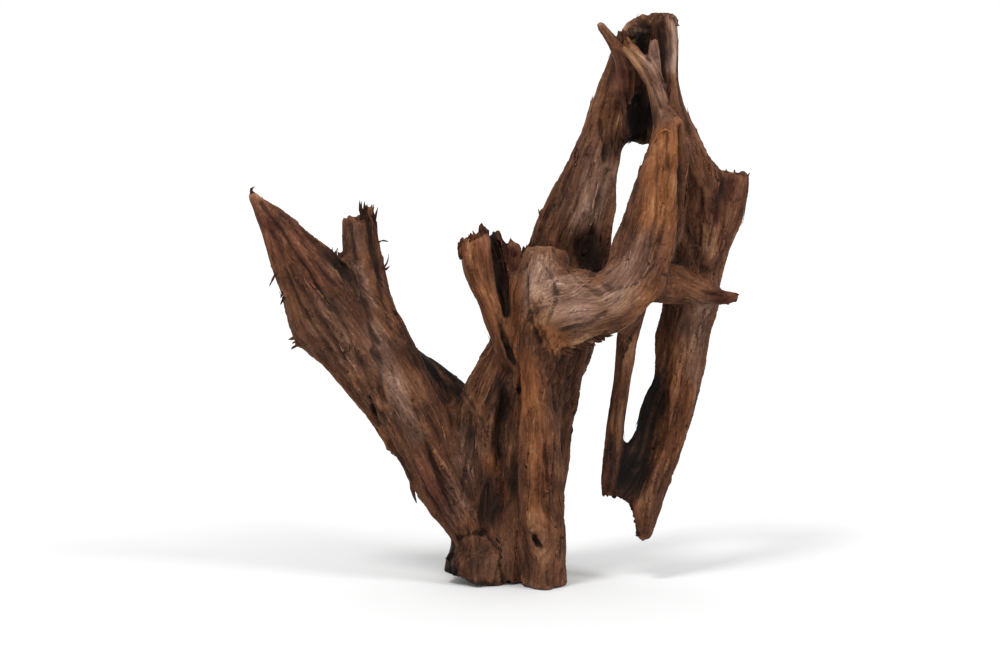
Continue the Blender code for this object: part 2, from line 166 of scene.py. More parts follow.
# The relief is held between these, is lower on thin limbs, and dies out above the foot.
HIGHEST_RELIEF = 1.0 * MM
DEEPEST_RELIEF = 2.6 * MM
FULL_RELIEF_WIDTH = 20 * MM
LEAST_RELIEF = 0.3
FOOT_BAND = 4.0 * MM

# How pale the wood is, from 0 to 1: its mean, what each noise and the ridges add to it, and the
# shade painted into a hollow of the given depth, which paints rims paler too. A noise is (amount,
# width, seed). Warm patches are golder.
MEAN_PALENESS = 0.475
STREAK_TONE = (0.045, 1.9 * MM, 11)
BAND_TONE = (0.055, 6.0 * MM, 12)
BLOTCH_TONE = 0.14
BLOTCHES = ((1.0, 22 * MM, 13), (0.6, 9 * MM, 14))
RIDGE_TONE = 0.09
HOLLOW_SHADE = 0.24
HOLLOW_DEPTH = 2.2 * MM
HOLLOW_RANGE = (-0.5, 1)
MEAN_WARMTH = 0.5
WARM_PATCHES = ((0.35, 17 * MM, 15), (0.25, 7 * MM, 16))

# A stain is full up to the first of these numbers of radii from its line, and gone at the second.
# A tone or a groove is gone at its own number, and full one radius nearer. The fibres make the
# edges of stains and grooves ragged, and a groove reaches far into the depth of the wood.
STAIN_REACH = (0.5, 1.7)
STAIN_RAGGEDNESS = 0.30
STAIN_STREAKS = 0.6
STAIN_BANDS = 0.8
TONE_REACH = 1.5
GROOVE_REACH = 1.5
GROOVE_RAGGEDNESS = 0.45
GROOVE_FLATNESS = 0.3

# Stains, bare fibres and painted shade seen in the photograph: (kind, strength, radius, points of a
# line). One kind, mixed towards a very deep brown, is painted shade: in hollows, cracks and
# crotches, under overhangs and the foot's lifted lip, and on faces that are turned from the lamps.
STAINS_AND_SHADE = [
    ("gold", 1.0, 8, [(14, -39, 176), (20, -40, 157), (23, -42, 136)]),
    ("gold", 0.6, 9, [(25, -42, 128), (26, -41, 100), (26, -37, 62)]),
    ("gold", 0.7, 7, [(12, -36, 205), (10, -34, 186)]),
    ("gold", 1.0, 15, [(124, -46, 352), (121, -54, 318), (119, -58, 290), (112, -60, 268)]),
    ("gold", 0.6, 9, [(-22, -26, 258), (-14, -28, 230), (-2, -28, 205)]),
    ("gold", 0.9, 7, [(12, -34, 226), (8, -34, 206)]),
    ("gold", 0.95, 6, [(-7, -17, 95), (-1, -16, 90)]),
    ("gold", 1.0, 4, [(1, -16, 77), (3, -15, 71)]),
    ("gold", 0.6, 5, [(-24, -22, 53), (-15, -17, 46), (-7, -19, 40)]),
    ("gold", 0.5, 12, [(100, -58, 226), (116, -50, 222)]),
    ("gold", 0.55, 11, [(140, -10, 178), (136, -10, 142), (126, -11, 104)]),
    ("gold", 0.5, 7, [(90, -22, 411), (104, -25, 392)]),
    ("grey", 0.7, 5, [(129, -2, 392), (131, -1, 424)]),
    ("gold", 0.6, 7, [(-156, -36, 190), (-118, -28, 146), (-84, -16, 104)]),
    ("gold", 0.8, 7, [(33, -50, 200), (41, -47, 188)]),
    ("gold", 0.4, 12, [(74, 0, 320), (84, 2, 350)]),
    ("gold", 0.4, 10, [(120, -40, 238), (150, -14, 234)]),
    ("gold", 0.5, 12, [(-40, 22, 90), (-10, 30, 60)]),
    ("gold", 0.5, 14, [(60, 50, 250), (40, 50, 160)]),
    ("grey", 0.8, 6, [(-96, -34, 200), (-86, -32, 182), (-75, -32, 144), (-62, -29, 118)]),
    ("grey", 0.5, 10, [(-24, -5, 110), (-28, -23, 64)]),
    ("grey", 0.3, 12, [(-12, -24, 26), (-4, -24, 20)]),
    ("grey", 0.7, 14, [(30, -46, 240), (44, -56, 232), (60, -62, 222)]),
    ("grey", 0.7, 12, [(84, -64, 228), (96, -64, 250), (106, -62, 262)]),
    ("grey", 0.6, 9, [(152, -5, 212), (148, -9, 165)]),
    ("grey", 0.8, 6, [(111, -26, 410), (112, -26, 392)]),
    ("grey", 0.6, 8, [(116, -38, 374), (120, -40, 358)]),
    ("grey", 0.5, 5, [(-110, -18, 270), (-104, -28, 244), (-97, -33, 216)]),
    ("grey", 0.55, 15, [(64, 12, 280), (74, 12, 318)]),
    ("grey", 0.3, 14, [(-130, -36, 206), (-112, -34, 180)]),
    ("grey", 0.6, 13, [(10, 45, 60), (4, 45, 110)]),
    ("grey", 0.5, 14, [(-110, 0, 190), (-130, -4, 230)]),
    ("red", 0.6, 8, [(-58, -26, 92), (-42, -26, 56)]),
    ("red", 0.8, 3, [(32, -44, 123), (33, -41, 104), (36, -39, 83)]),
    ("red", 0.9, 9, [(92, -4, 385), (90, 0, 360)]),
    ("red", 0.8, 10, [(-184, -36, 300), (-168, -38, 262)]),
    ("red", 0.7, 9, [(-22, -26, 262), (-10, -24, 260)]),
    ("red", 0.8, 7, [(6, -12, 252), (10, -12, 226)]),
    ("red", 0.7, 7, [(84, -12, 80), (84, -12, 66)]),
    ("red", 0.6, 14, [(-150, -38, 262), (-134, -36, 240)]),
    ("red", 0.6, 12, [(170, 8, 300), (160, 4, 280)]),
    ("red", 0.9, 7, [(160, -10, 220), (182, -10, 219)]),
    ("red", 0.5, 12, [(40, 48, 210), (36, 50, 120)]),
    ("painted_shade", 0.85, 9, [(-124, -32, 250), (-113, -32, 236)]),
    ("painted_shade", 1.0, 13, [(111, -6, 150), (104, -4, 116), (97, -4, 82)]),
    ("painted_shade", 1.0, 13, [(101, 13, 366), (106, 14, 344)]),
    ("painted_shade", 1.0, 8, [(104, 4, 414), (104, 8, 396)]),
    ("painted_shade", 1.0, 5, [(-6, -18, 272), (-2, -16, 250), (3, -20, 224), (5, -28, 206)]),
    ("painted_shade", 0.65, 8, [(2, -12, 150), (0, -14, 124), (0, -12, 104)]),
    ("painted_shade", 0.65, 8, [(-8, -14, 76), (-12, -14, 48)]),
    ("painted_shade", 0.55, 5, [(11, -18, 88), (12, -18, 70)]),
    ("painted_shade", 0.45, 9, [(60, -20, 182), (54, -28, 170), (50, -24, 152)]),
    ("painted_shade", 0.50, 8, [(68, 12, 257), (72, 12, 244)]),
    ("painted_shade", 1.0, 18, [(-84, 18, 205), (-60, 26, 180), (-36, 28, 154), (-24, 26, 146)]),
    ("painted_shade", 1.0, 14, [(-66, 8, 184), (-52, 12, 168), (-36, 14, 154)]),
    ("painted_shade", 1.0, 7, [(-60, 0, 175), (-47, 2, 162), (-38, 4, 155)]),
    ("painted_shade", 1.0, 9, [(-39, -8, 26), (-37, -12, 8)]),
    ("painted_shade", 0.7, 4, [(120, -2, 420), (121, -4, 396), (122, -4, 374)]),
    ("painted_shade", 0.40, 5, [(138, -36, 320), (139, -38, 290), (137, -36, 258)]),
    ("painted_shade", 0.35, 6, [(140, -6, 305), (142, -8, 250)]),
    ("painted_shade", 0.8, 3, [(-36, -13, 4), (-15, -23, 2), (15, -16, 0), (45, -24, 0)]),
    ("painted_shade", 0.5, 2.5, [(24, -34, 43), (27, -30, 38), (31, -34, 33)]),
]
STAIN_AND_SHADE_KINDS = ("gold", "grey", "red", "painted_shade")

# Where the wood is paler or darker than elsewhere: (amount, radius, points of a line). Some of the
# darker lines, marked below, are painted shade.
TONES = [
    (0.24, 20, [(30, -46, 240), (46, -56, 220), (62, -60, 214)]),
    (0.16, 14, [(84, -62, 226), (104, -62, 246)]),
    (0.22, 10, [(44, -50, 192), (60, -48, 190)]),
    (0.20, 10, [(34, -22, 264), (24, -26, 260)]),
    (0.14, 8, [(52, -46, 190), (60, -50, 191)]),
    (0.10, 9, [(33, -52, 208), (40, -52, 204)]),
    (0.10, 9, [(96, -64, 222), (108, -62, 226)]),
    (0.10, 9, [(18, -40, 164), (24, -42, 130), (26, -41, 95)]),
    (0.30, 12, [(65, 12, 274), (71, 12, 292), (76, 12, 308)]),
    (0.12, 12, [(150, -5, 210), (142, -8, 170)]),
    (0.10, 12, [(126, -24, 232), (140, -10, 230)]),
    (-0.32, 7, [(156, -12, 220), (164, -12, 219)]),
    (0.20, 13, [(120, -54, 338), (118, -58, 285)]),
    (0.09, 13, [(-22, -7, 134), (-24, -10, 96)]),
    (0.08, 9, [(-20, -26, 252), (-5, -28, 215)]),
    (0.20, 6, [(10, -24, 212), (8, -26, 200)]),
    (0.05, 12, [(-160, -36, 262), (-140, -36, 226)]),
    (0.22, 9, [(22, -36, 54), (38, -34, 44), (34, -34, 26)]),
    (-0.12, 12, [(-12, -24, 26), (-4, -22, 14)]),
    # These two are painted shade, under the shoulder's overhang and in the recesses of the stump.
    (-0.08, 10, [(60, -10, 182), (50, -28, 165), (50, -20, 140)]),
    (-0.08, 12, [(0, -14, 140), (-10, -14, 60)]),
    (0.36, 6, [(129, -4, 425), (128, -4, 390)]),
    # Painted shade along the edge of the hollow in the crown.
    (-0.22, 5, [(119, -2, 424), (120, -4, 400), (121, -4, 374)]),
    # These two are painted shade: on the limb beside the hooked branch, and along that branch's right
    # edge.
    (-0.20, 7, [(139, -6, 315), (141, -8, 285), (142, -8, 250)]),
    (-0.26, 5, [(138, -36, 322), (139, -38, 290), (137, -36, 258)]),
    (0.14, 8, [(156, -2, 268), (156, -2, 250)]),
    # Painted shade in the hollow on the tall stem.
    (-0.42, 12, [(68, 10, 257), (72, 10, 244)]),
    (0.34, 6, [(100, -26, 396), (92, -24, 406)]),
    (-0.20, 4, [(113, -24, 414), (113, -26, 400)]),
    (-0.26, 9, [(-74, -24, 189), (-66, -23, 175)]),
    (0.30, 6, [(-182, -34, 298), (-172, -34, 284)]),
    (0.12, 4, [(176, -10, 220), (181, -10, 220)]),
    (0.08, 8, [(-82, -33, 157), (-70, -32, 135)]),
    # Painted shade of the torn fibres over the right half of the arm's stub.
    (-0.14, 6, [(-96, -16, 272), (-92, -19, 246)]),
    (0.42, 8, [(92, 6, 418), (100, 6, 414)]),
    (0.24, 5, [(110, 4, 427), (117, 2, 428)]),
    (-0.18, 7, [(93, -6, 392), (97, -6, 374)]),
    (-0.07, 18, [(-52, -14, 104), (-38, -14, 64)]),
    # These two are painted shade on the hollow face of the hanging limb, which is turned from the lamps.
    (-0.20, 11, [(94, -6, 84), (93, -6, 74)]),
    (-0.10, 9, [(118, 2, 150), (104, -2, 84)]),
]

# Drying cracks and the valleys between bundles: (half width, depth, painted shade, points of a
# line). The painted shade deepens the groove's colour towards a very deep brown.
GROOVES = [
    (1.8, 2.2, 0.6, [(-111, -28, 244), (-105, -32, 228), (-99, -32, 211), (-93, -33, 186),
                     (-89, -31, 159), (-85, -20, 120), (-75, -14, 89), (-64, -14, 69)]),
    (1.7, 2.2, 0.9, [(-97, -28, 146), (-94, -19, 134), (-91, -17, 123)]),
    (1.3, 2.0, 0.8, [(19, -37, 246), (20, -43, 233), (22, -49, 209), (30, -44, 189)]),
    (1.3, 2.2, 0.8, [(0, -32, 200), (5, -27, 184), (13, -35, 168), (14, -31, 150)]),
    (1.2, 1.4, 0.4, [(32, -44, 123), (33, -41, 104), (36, -39, 83)]),
    (1.4, 1.4, 0.8, [(23, -34, 44), (27, -30, 38), (32, -34, 32)]),
    (1.4, 2.2, 0.8, [(-40, 12, 30), (-33, -17, 36), (-22, -25, 42), (-10, -19, 41), (0, -18, 29)]),
    (1.2, 1.6, 0.8, [(0, -18, 17), (1, -16, 10), (2, -15, 2)]),
    (1.1, 1.3, 0.7, [(75, 9, 350), (77, 9, 336), (79, 12, 320)]),
    (1.1, 1.3, 0.8, [(83, 9, 353), (84, 12, 336), (88, 14, 323)]),
    (1.0, 1.2, 0.6, [(86, 7, 397), (81, 7, 378), (77, 8, 360)]),
    (1.2, 1.3, 0.6, [(-34, 20, 151), (-24, -7, 141), (-15, -18, 128), (-10, -19, 116)]),
    (1.5, 1.8, 0.6, [(-65, -30, 144), (-56, -29, 114), (-46, -26, 83), (-36, -24, 59),
                     (-22, -24, 42)]),
    (1.2, 1.3, 0.5, [(-22, -10, 130), (-24, -5, 103), (-28, -23, 68)]),
    (1.2, 1.3, 0.5, [(-80, -28, 133), (-67, -27, 102), (-51, -19, 67), (-40, -16, 46)]),
    (1.3, 1.5, 0.5, [(39, -39, 160), (41, -34, 137), (41, -40, 115), (39, -40, 93),
                     (38, -36, 62)]),
    (1.2, 1.4, 0.5, [(50, -42, 184), (51, -26, 159), (49, -6, 126)]),
    (1.3, 1.6, 0.8, [(35, -32, 14), (36, -32, 4)]),
    (1.2, 1.4, 0.5, [(104, -40, 327), (98, -46, 305), (92, -48, 286)]),
    (1.1, 1.3, 0.5, [(114, -44, 342), (115, -55, 314), (114, -58, 284), (109, -61, 261)]),
    (1.1, 1.3, 0.5, [(122, -49, 343), (123, -54, 313), (121, -57, 280), (113, -60, 252)]),
    (1.4, 1.8, 0.7, [(120, -57, 241), (135, -31, 233), (150, -20, 225), (165, -14, 221)]),
    (1.2, 1.4, 0.5, [(123, -50, 250), (142, -12, 245), (158, -4, 238)]),
    (1.2, 1.4, 0.6, [(150, -2, 300), (153, -2, 281), (150, -2, 258)]),
    (1.2, 1.4, 0.6, [(167, 6, 302), (162, -1, 280), (156, -3, 258)]),
    (1.3, 1.5, 0.5, [(141, -17, 214), (141, -8, 179), (134, -10, 142), (125, -11, 104)]),
    (1.2, 1.4, 0.6, [(127, -32, 220), (126, -5, 179), (123, -4, 145)]),
    (1.0, 1.2, 0.5, [(154, -7, 209), (152, 1, 178), (148, 5, 148)]),
    (1.2, 1.3, 0.5, [(66, -49, 241), (82, -64, 230), (102, -62, 235), (113, -60, 248)]),
    (1.2, 1.3, 0.5, [(44, -55, 200), (66, -60, 205), (87, -65, 224)]),
    (1.2, 1.4, 0.5, [(29, -41, 250), (38, -46, 241), (41, -56, 223), (35, -54, 204)]),
    (1.2, 1.4, 0.4, [(41, -34, 257), (50, -38, 243), (58, -58, 235), (73, -63, 227)]),
    (1.2, 1.3, 0.4, [(24, -51, 222), (29, -50, 203), (38, -45, 184), (44, -37, 166)]),
    (1.2, 1.5, 0.7, [(-176, -36, 292), (-158, -38, 266), (-140, -38, 240), (-125, -38, 213)]),
    (1.2, 1.4, 0.5, [(-168, -37, 270), (-153, -38, 240), (-134, -35, 209), (-115, -31, 175)]),
    (1.2, 1.4, 0.6, [(-159, -36, 243), (-148, -35, 217), (-126, -31, 182), (-104, -18, 143)]),
    (1.3, 1.6, 0.7, [(-148, -31, 277), (-133, -34, 258), (-122, -34, 244)]),
    (1.2, 1.5, 0.6, [(-125, -37, 221), (-114, -36, 198), (-103, -32, 171), (-93, -29, 144)]),
    (1.1, 1.3, 0.6, [(-112, -15, 275), (-109, -18, 252), (-103, -32, 231), (-95, -31, 205)]),
    (1.1, 1.4, 0.6, [(-98, -14, 277), (-95, -16, 252), (-89, -23, 227), (-80, -30, 197)]),
    (1.2, 1.3, 0.5, [(34, 22, 277), (45, 17, 297), (59, 15, 324), (69, 12, 347)]),
    (1.1, 1.3, 0.5, [(45, 13, 260), (57, 12, 286), (69, 10, 317)]),
    (1.1, 1.3, 0.5, [(68, 18, 263), (74, 13, 290), (80, 13, 313)]),
    (1.2, 1.4, 0.6, [(95, -12, 398), (97, -8, 380), (96, 0, 360)]),
    (1.2, 1.4, 0.6, [(127, -4, 428), (127, -3, 405), (126, -4, 375)]),
    (1.1, 1.3, 0.5, [(132, 3, 397), (135, -1, 367), (142, -1, 341)]),
    (1.0, 1.2, 0.5, [(90, -31, 186), (88, -25, 159), (85, -17, 120), (84, -12, 82)]),
    (1.0, 1.2, 0.5, [(92, -17, 410), (98, -23, 402), (105, -27, 392), (112, -31, 377),
                     (118, -39, 363)]),
    (1.6, 2.0, 0.7, [(78, -57, 198), (66, -52, 192), (55, -38, 183), (44, -40, 173),
                     (38, -41, 158)]),
    (1.8, 2.4, 0.9, [(132, -44, 349), (132, -48, 313), (131, -46, 279), (130, -36, 254)]),
    (2.6, 3.0, 0.4, [(121, 0, 432), (121, -4, 422)]),
    (2.3, 2.6, 0.4, [(110, 4, 431), (109, 3, 420)]),
    (1.8, 3.0, 0.5, [(116, 1, 433), (115, -4, 424)]),
    (1.5, 2.6, 0.5, [(127, -2, 433), (127, -6, 425)]),
    (1.6, 3.2, 0.5, [(104, 3, 429), (103, -1, 420)]),
    (1.5, 2.6, 0.5, [(98, 3, 426), (97, -1, 417)]),
]


def placed(rows):
    """Rows that start with x, y and z in the drawn frame, in metres in the model's frame."""
    made = np.array(rows, float) * MM
    made[..., :3] += DRAWN_TO_MODEL
    return made


def curve_through(points, step):
    """The points' rows along a smooth curve through them, about a step apart."""
    rows = placed(points)
    padded = np.vstack([2 * rows[0] - rows[1], rows, 2 * rows[-1] - rows[-2]])
    out = []
    for i in range(1, len(padded) - 2):
        a, b, c, d = padded[i - 1 : i + 3]
        count = max(2, math.ceil(np.linalg.norm(c[:3] - b[:3]) / step))
        for t in np.arange(count) / count:
            bend = t**2 * (a - 2.5 * b + 2 * c - 0.5 * d) + t**3 * (1.5 * (b - c) + 0.5 * (d - a))
            out.append(b + 0.5 * t * (c - a) + bend)
    out.append(rows[-1])
    return np.array(out)


def unit(vectors):
    """The vectors, each one long."""
    return vectors / np.maximum(np.linalg.norm(vectors, axis=-1, keepdims=True), 1e-12)


def grain_samples():
    """Places on the grain lines, with the line's direction, half width and travelled length."""
    places, runs, widths, travelled = [], [], [], []
    for points in GRAIN_LINES.values():
        rows = curve_through(points, SAMPLE_STEP)
        steps = np.linalg.norm(np.diff(rows[:, :3], axis=0), axis=1)
        places.append(rows[:, :3])
        runs.append(unit(np.gradient(rows[:, :3], axis=0)))
        widths.append(rows[:, 3])
        travelled.append(np.concatenate([[0], np.cumsum(steps)]))
    parts = (places, runs, widths, travelled)
    return [np.concatenate(part).astype(np.float32) for part in parts]


def soft_noise(points, width, seed):
    """Random values between -1 and 1, whose soft lumps are about as wide as the width."""
    lattice = np.random.default_rng(seed).uniform(-1, 1, (NOISE_CELLS,) * 3).astype(np.float32)
    spot = points / width
    low = np.floor(spot).astype(np.int32)
    share = spot - low
    share = share * share * (3 - 2 * share)
    total = np.zeros(len(points), np.float32)
    for corner in range(8):
        bits = np.array([corner & 1, corner >> 1 & 1, corner >> 2 & 1])
        weight = np.prod(np.where(bits, share, 1 - share), axis=1)
        x, y, z = ((low + bits) & (NOISE_CELLS - 1)).T
        total += weight * lattice[x, y, z]
    return total


def gaps_to_samples(points, samples):
    """Goes through the points in chunks: the rows of each chunk, and how far each of its points
    is from each sample, squared and counted in the sample's half widths."""
    places, _, widths, _ = samples
    scaled = places / widths[:, None]
    lean = (scaled / widths[:, None]).T
    own = (scaled**2).sum(1)
    for start in range(0, len(points), FIELD_CHUNK):
        rows = slice(start, start + FIELD_CHUNK)
        part = points[rows]
        yield rows, (part**2).sum(1)[:, None] / widths**2 - 2 * part @ lean + own


def swirled(run, grid):
    """The directions on the grid, turned round the knots."""
    for centre, radius in KNOTS:
        away = grid - placed(centre)
        swirl = unit(np.cross(away, (0, 1, 0)))
        pull = np.exp(-((np.linalg.norm(away, axis=1, keepdims=True) / (radius * MM)) ** 2))
        sign = np.sign((swirl * run).sum(1, keepdims=True) + 1e-9)
        run = run * (1 - pull) + swirl * sign * pull
    return unit(run)


def grain_field(samples):
    """The direction of the fibres on a coarse grid. It is kept as products of its parts, which
    have no sign, so that limbs that are drawn opposite ways blend."""
    low = np.array(CAD_BOX[0]) - FIELD_MARGIN
    counts = np.ceil((np.array(CAD_BOX[1]) + FIELD_MARGIN - low) / FIELD_CELL).astype(int) + 1
    axes = [low[i] + FIELD_CELL * np.arange(counts[i]) for i in range(3)]
    grid = np.stack(np.meshgrid(*axes, indexing="ij"), -1).reshape(-1, 3).astype(np.float32)
    runs = samples[1]
    products = (runs[:, :, None] * runs[:, None, :]).reshape(-1, 9)
    field = np.empty((len(grid), 9), np.float32)
    for rows, gap in gaps_to_samples(grid, samples):
        gap -= gap.min(1, keepdims=True)
        field[rows] = np.exp(-FIELD_SHARPNESS * gap) @ products
    run = np.linalg.eigh(field.reshape(-1, 3, 3))[1][:, :, 2].astype(np.float32)
    for axis in range(3):
        run[:, axis] += WANDER * soft_noise(grid, WANDER_LENGTH, WANDER_SEED + axis)
    run = swirled(run, grid)
    field = (run[:, :, None] * run[:, None, :]).astype(np.float32).reshape(*counts, 3, 3)
    for axis in range(3):
        field = halved(field, axis)
    return low, field


def halved(grid, axis):
    """The grid with a cell added half-way between each two along the axis."""
    coarse = np.moveaxis(grid, axis, 0)
    fine = np.empty((2 * len(coarse) - 1,) + coarse.shape[1:], np.float32)
    fine[0::2] = coarse
    fine[1::2] = (coarse[:-1] + coarse[1:]) / 2
    return np.moveaxis(fine, 0, axis)


def turned_along(points, run):
    """The fibre direction at each point, with the sign of the direction it came with."""
    low, field = FIELD
    cells = np.rint((points - low) / (FIELD_CELL / 2)).astype(np.int32)
    x, y, z = np.clip(cells, 0, np.array(field.shape[:3]) - 1).T
    return unit(np.einsum("nij,nj->ni", field[x, y, z], run))


def fibre_paths(points, normals):
    """For each point, the places passed on the way along its fibre, both ways."""
    run = unit(np.cross(normals, np.array(FIRST_LEAN))).astype(np.float32)
    for _ in range(SETTLING_TURNS):
        run = turned_along(points, run + 1e-4)
    paths = [points]
    for sign in (1, -1):
        place, heading = points, run * sign
        for _ in range(FOLLOW_COUNT):
            place = place + heading * FOLLOW_STEP
            heading = turned_along(place, heading)
            paths.append(place)
    return paths


def streaks(paths, width, seed):
    """Noise drawn out along the fibres, with a mean of 0 and a spread of 1. The width is that of
    one streak. The noise is turned, so that its cells lie askew to every limb."""
    rng = np.random.default_rng(seed)
    lattice = rng.standard_normal((NOISE_CELLS,) * 3, dtype=np.float32)
    for axis in (0, 1, 2) * STREAK_BLURS:
        lattice = 0.5 * lattice + 0.25 * (np.roll(lattice, 1, axis) + np.roll(lattice, -1, axis))
    turn = np.linalg.qr(rng.standard_normal((3, 3)))[0].astype(np.float32)
    turn *= STREAK_CELLS / width
    total = np.zeros(len(paths[0]), np.float32)
    for number, place in enumerate(paths):
        step = (number - 1) % FOLLOW_COUNT + 1 if number else 0
        fade = 0.5 + 0.5 * math.cos(math.pi * step / (FOLLOW_COUNT + 1))
        x, y, z = (np.floor(place @ turn).astype(np.int32) & (NOISE_CELLS - 1)).T
        total += fade * lattice[x, y, z]
    return (total - total.mean()) / total.std()


def positions(mesh):
    """The mesh's vertices as rows of x, y and z."""
    flat = np.empty(len(mesh.vertices) * 3, np.float32)
    mesh.vertices.foreach_get("co", flat)
    return flat.reshape(-1, 3)


def normals_of(mesh):
    """The mesh's vertex normals as rows."""
    flat = np.empty(len(mesh.vertices) * 3, np.float32)
    mesh.vertex_normals.foreach_get("vector", flat)
    return flat.reshape(-1, 3)


def apply_modifiers(obj):
    """Replaces the object's mesh by what its modifiers make of it."""
    graph = bpy.context.evaluated_depsgraph_get()
    made = bpy.data.meshes.new_from_object(obj.evaluated_get(graph))
    obj.modifiers.clear()
    obj.data = made
    made.name = obj.name


def smoothed_copy():
    """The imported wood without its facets, as one even skin."""
    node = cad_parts["driftwood"]
    mesh = bmesh.new()
    mesh.from_mesh(node.data)
    bmesh.ops.remove_doubles(mesh, verts=mesh.verts, dist=1e-6)
    data = bpy.data.meshes.new("driftwood_body")
    mesh.to_mesh(data)
    mesh.free()
    wood = bpy.data.objects.new("driftwood_body", data)
    bpy.context.scene.collection.objects.link(wood)
    round_off = wood.modifiers.new("Round off", "SUBSURF")
    round_off.levels = 2
    round_off.render_levels = 2
    even = wood.modifiers.new("Even skin", "REMESH")
    even.mode = "VOXEL"
    even.voxel_size = SKIN_VOXEL
    soften = wood.modifiers.new("Soften", "SMOOTH")
    soften.factor = 0.5
    soften.iterations = 4
    apply_modifiers(wood)
    keep_largest_island(wood.data)
    return wood


def keep_largest_island(data):
    """Removes the crumbs that thin splinters leave when the skin is made even."""
    mesh = bmesh.new()
    mesh.from_mesh(data)
    seen, islands = set(), []
    for start in mesh.verts:
        if start in seen:
            continue
        seen.add(start)
        island = [start]
        for vertex in island:
            for edge in vertex.link_edges:
                other = edge.other_vert(vertex)
                if other not in seen:
                    seen.add(other)
                    island.append(other)
        islands.append(island)
    islands.sort(key=len)
    bmesh.ops.delete(mesh, geom=[v for island in islands[:-1] for v in island], context="VERTS")
    mesh.to_mesh(data)
    mesh.free()


def hollowness(obj):
    """How far each vertex lies inside a hollow, in metres. It is below 0 on a ridge or rim."""
    blurred = obj.copy()
    blurred.data = obj.data.copy()
    bpy.context.scene.collection.objects.link(blurred)
    blur = blurred.modifiers.new("Blur", "SMOOTH")
    blur.factor = 1.0
    blur.iterations = 60
    apply_modifiers(blurred)
    drift = positions(blurred.data) - positions(obj.data)
    depth = (drift * normals_of(obj.data)).sum(1)
    bpy.data.objects.remove(blurred)
    return depth


def line_gap(points, line, flatness=1.0):
    """The distance from each point to a line of straight runs. A flatness below 1 counts less of
    the distance that lies in the depth."""
    nearest = np.full(len(points), 1e9, np.float32)
    squash = np.array((1, flatness, 1), np.float32)
    line = placed(line) * squash
    points = points * squash
    for start, end in zip(line, line[1:]):
        along = end - start
        share = np.clip((points - start) @ along / (along @ along), 0, 1)
        gap = np.linalg.norm(points - start - share[:, None] * along, axis=1)
        nearest = np.minimum(nearest, gap)
    return nearest


def nearest_samples(points):
    """The number of the grain sample that each point belongs to."""
    found = np.empty(len(points), np.int32)
    for rows, gap in gaps_to_samples(points, SAMPLES):
        found[rows] = gap.argmin(1)
    return found


def along_the_grain(points):
    """Each point's place in millimetres across, through and along the limb it belongs to."""
    places, runs, _, travelled = SAMPLES
    found = nearest_samples(points)
    offset = points - places[found]
    run = runs[found]
    across = unit(np.cross(run, np.array((0.0, 1.0, 0.0), np.float32)))
    back = np.cross(run, across)
    spot = [(offset * across).sum(1), (offset * back).sum(1), (offset * run).sum(1)]
    spot[2] += travelled[found]
    return np.stack(spot, 1) / MM


def set_attribute(mesh, name, values):
    """Stores one value, or one vector, for each vertex."""
    kind, field = ("FLOAT_VECTOR", "vector") if values.ndim == 2 else ("FLOAT", "value")
    layer = mesh.attributes.new(name, kind, "POINT")
    layer.data.foreach_set(field, np.ascontiguousarray(values, np.float32).ravel())


def stain_and_shade_values(points, streak):
    """How strong each kind of stain or painted shade is at each point. Its edge is drawn out along the
    fibres.
    """
    full, gone = STAIN_REACH
    made = {kind: np.zeros(len(points), np.float32) for kind in STAIN_AND_SHADE_KINDS}
    for kind, strength, radius, line in STAINS_AND_SHADE:
        reach = line_gap(points, line) / (radius * MM) + STAIN_RAGGEDNESS * streak
        value = strength * np.clip((gone - reach) / (gone - full), 0, 1)
        made[kind] = np.maximum(made[kind], value)
    return made


def tone_values(points):
    """How much paler than elsewhere the wood is at each point."""
    total = np.zeros(len(points), np.float32)
    for amount, radius, line in TONES:
        total += amount * np.clip(TONE_REACH - line_gap(points, line) / (radius * MM), 0, 1)
    return total


def groove_values(points, streak):
    """How deep the grooves are at each point, in metres, and how much shade is painted into them."""
    depth = np.zeros(len(points), np.float32)
    groove_shade = np.zeros(len(points), np.float32)
    for half_width, deep, painted_shade_share, line in GROOVES:
        reach = line_gap(points, line, GROOVE_FLATNESS) / (half_width * MM)
        share = np.clip(GROOVE_REACH - (reach + GROOVE_RAGGEDNESS * streak), 0, 1)
        depth = np.maximum(depth, deep * MM * share)
        groove_shade = np.maximum(groove_shade, painted_shade_share * share)
    return depth, groove_shade


def paint(mesh, pale, stains_and_shade):
    """Stores what the wood's material reads: paleness, stain colours, painted shade and the run of the
    fibres.
    """
    points = positions(mesh)
    set_attribute(mesh, "pale", np.clip(pale, 0, 1))
    for kind in STAIN_AND_SHADE_KINDS:
        set_attribute(mesh, kind, stains_and_shade[kind])
    warmth = MEAN_WARMTH
    for amount, width, seed in WARM_PATCHES:
        warmth = warmth + amount * soft_noise(points, width, seed)
    set_attribute(mesh, "warmth", np.clip(warmth, 0, 1))
    set_attribute(mesh, "grain_place", along_the_grain(points))


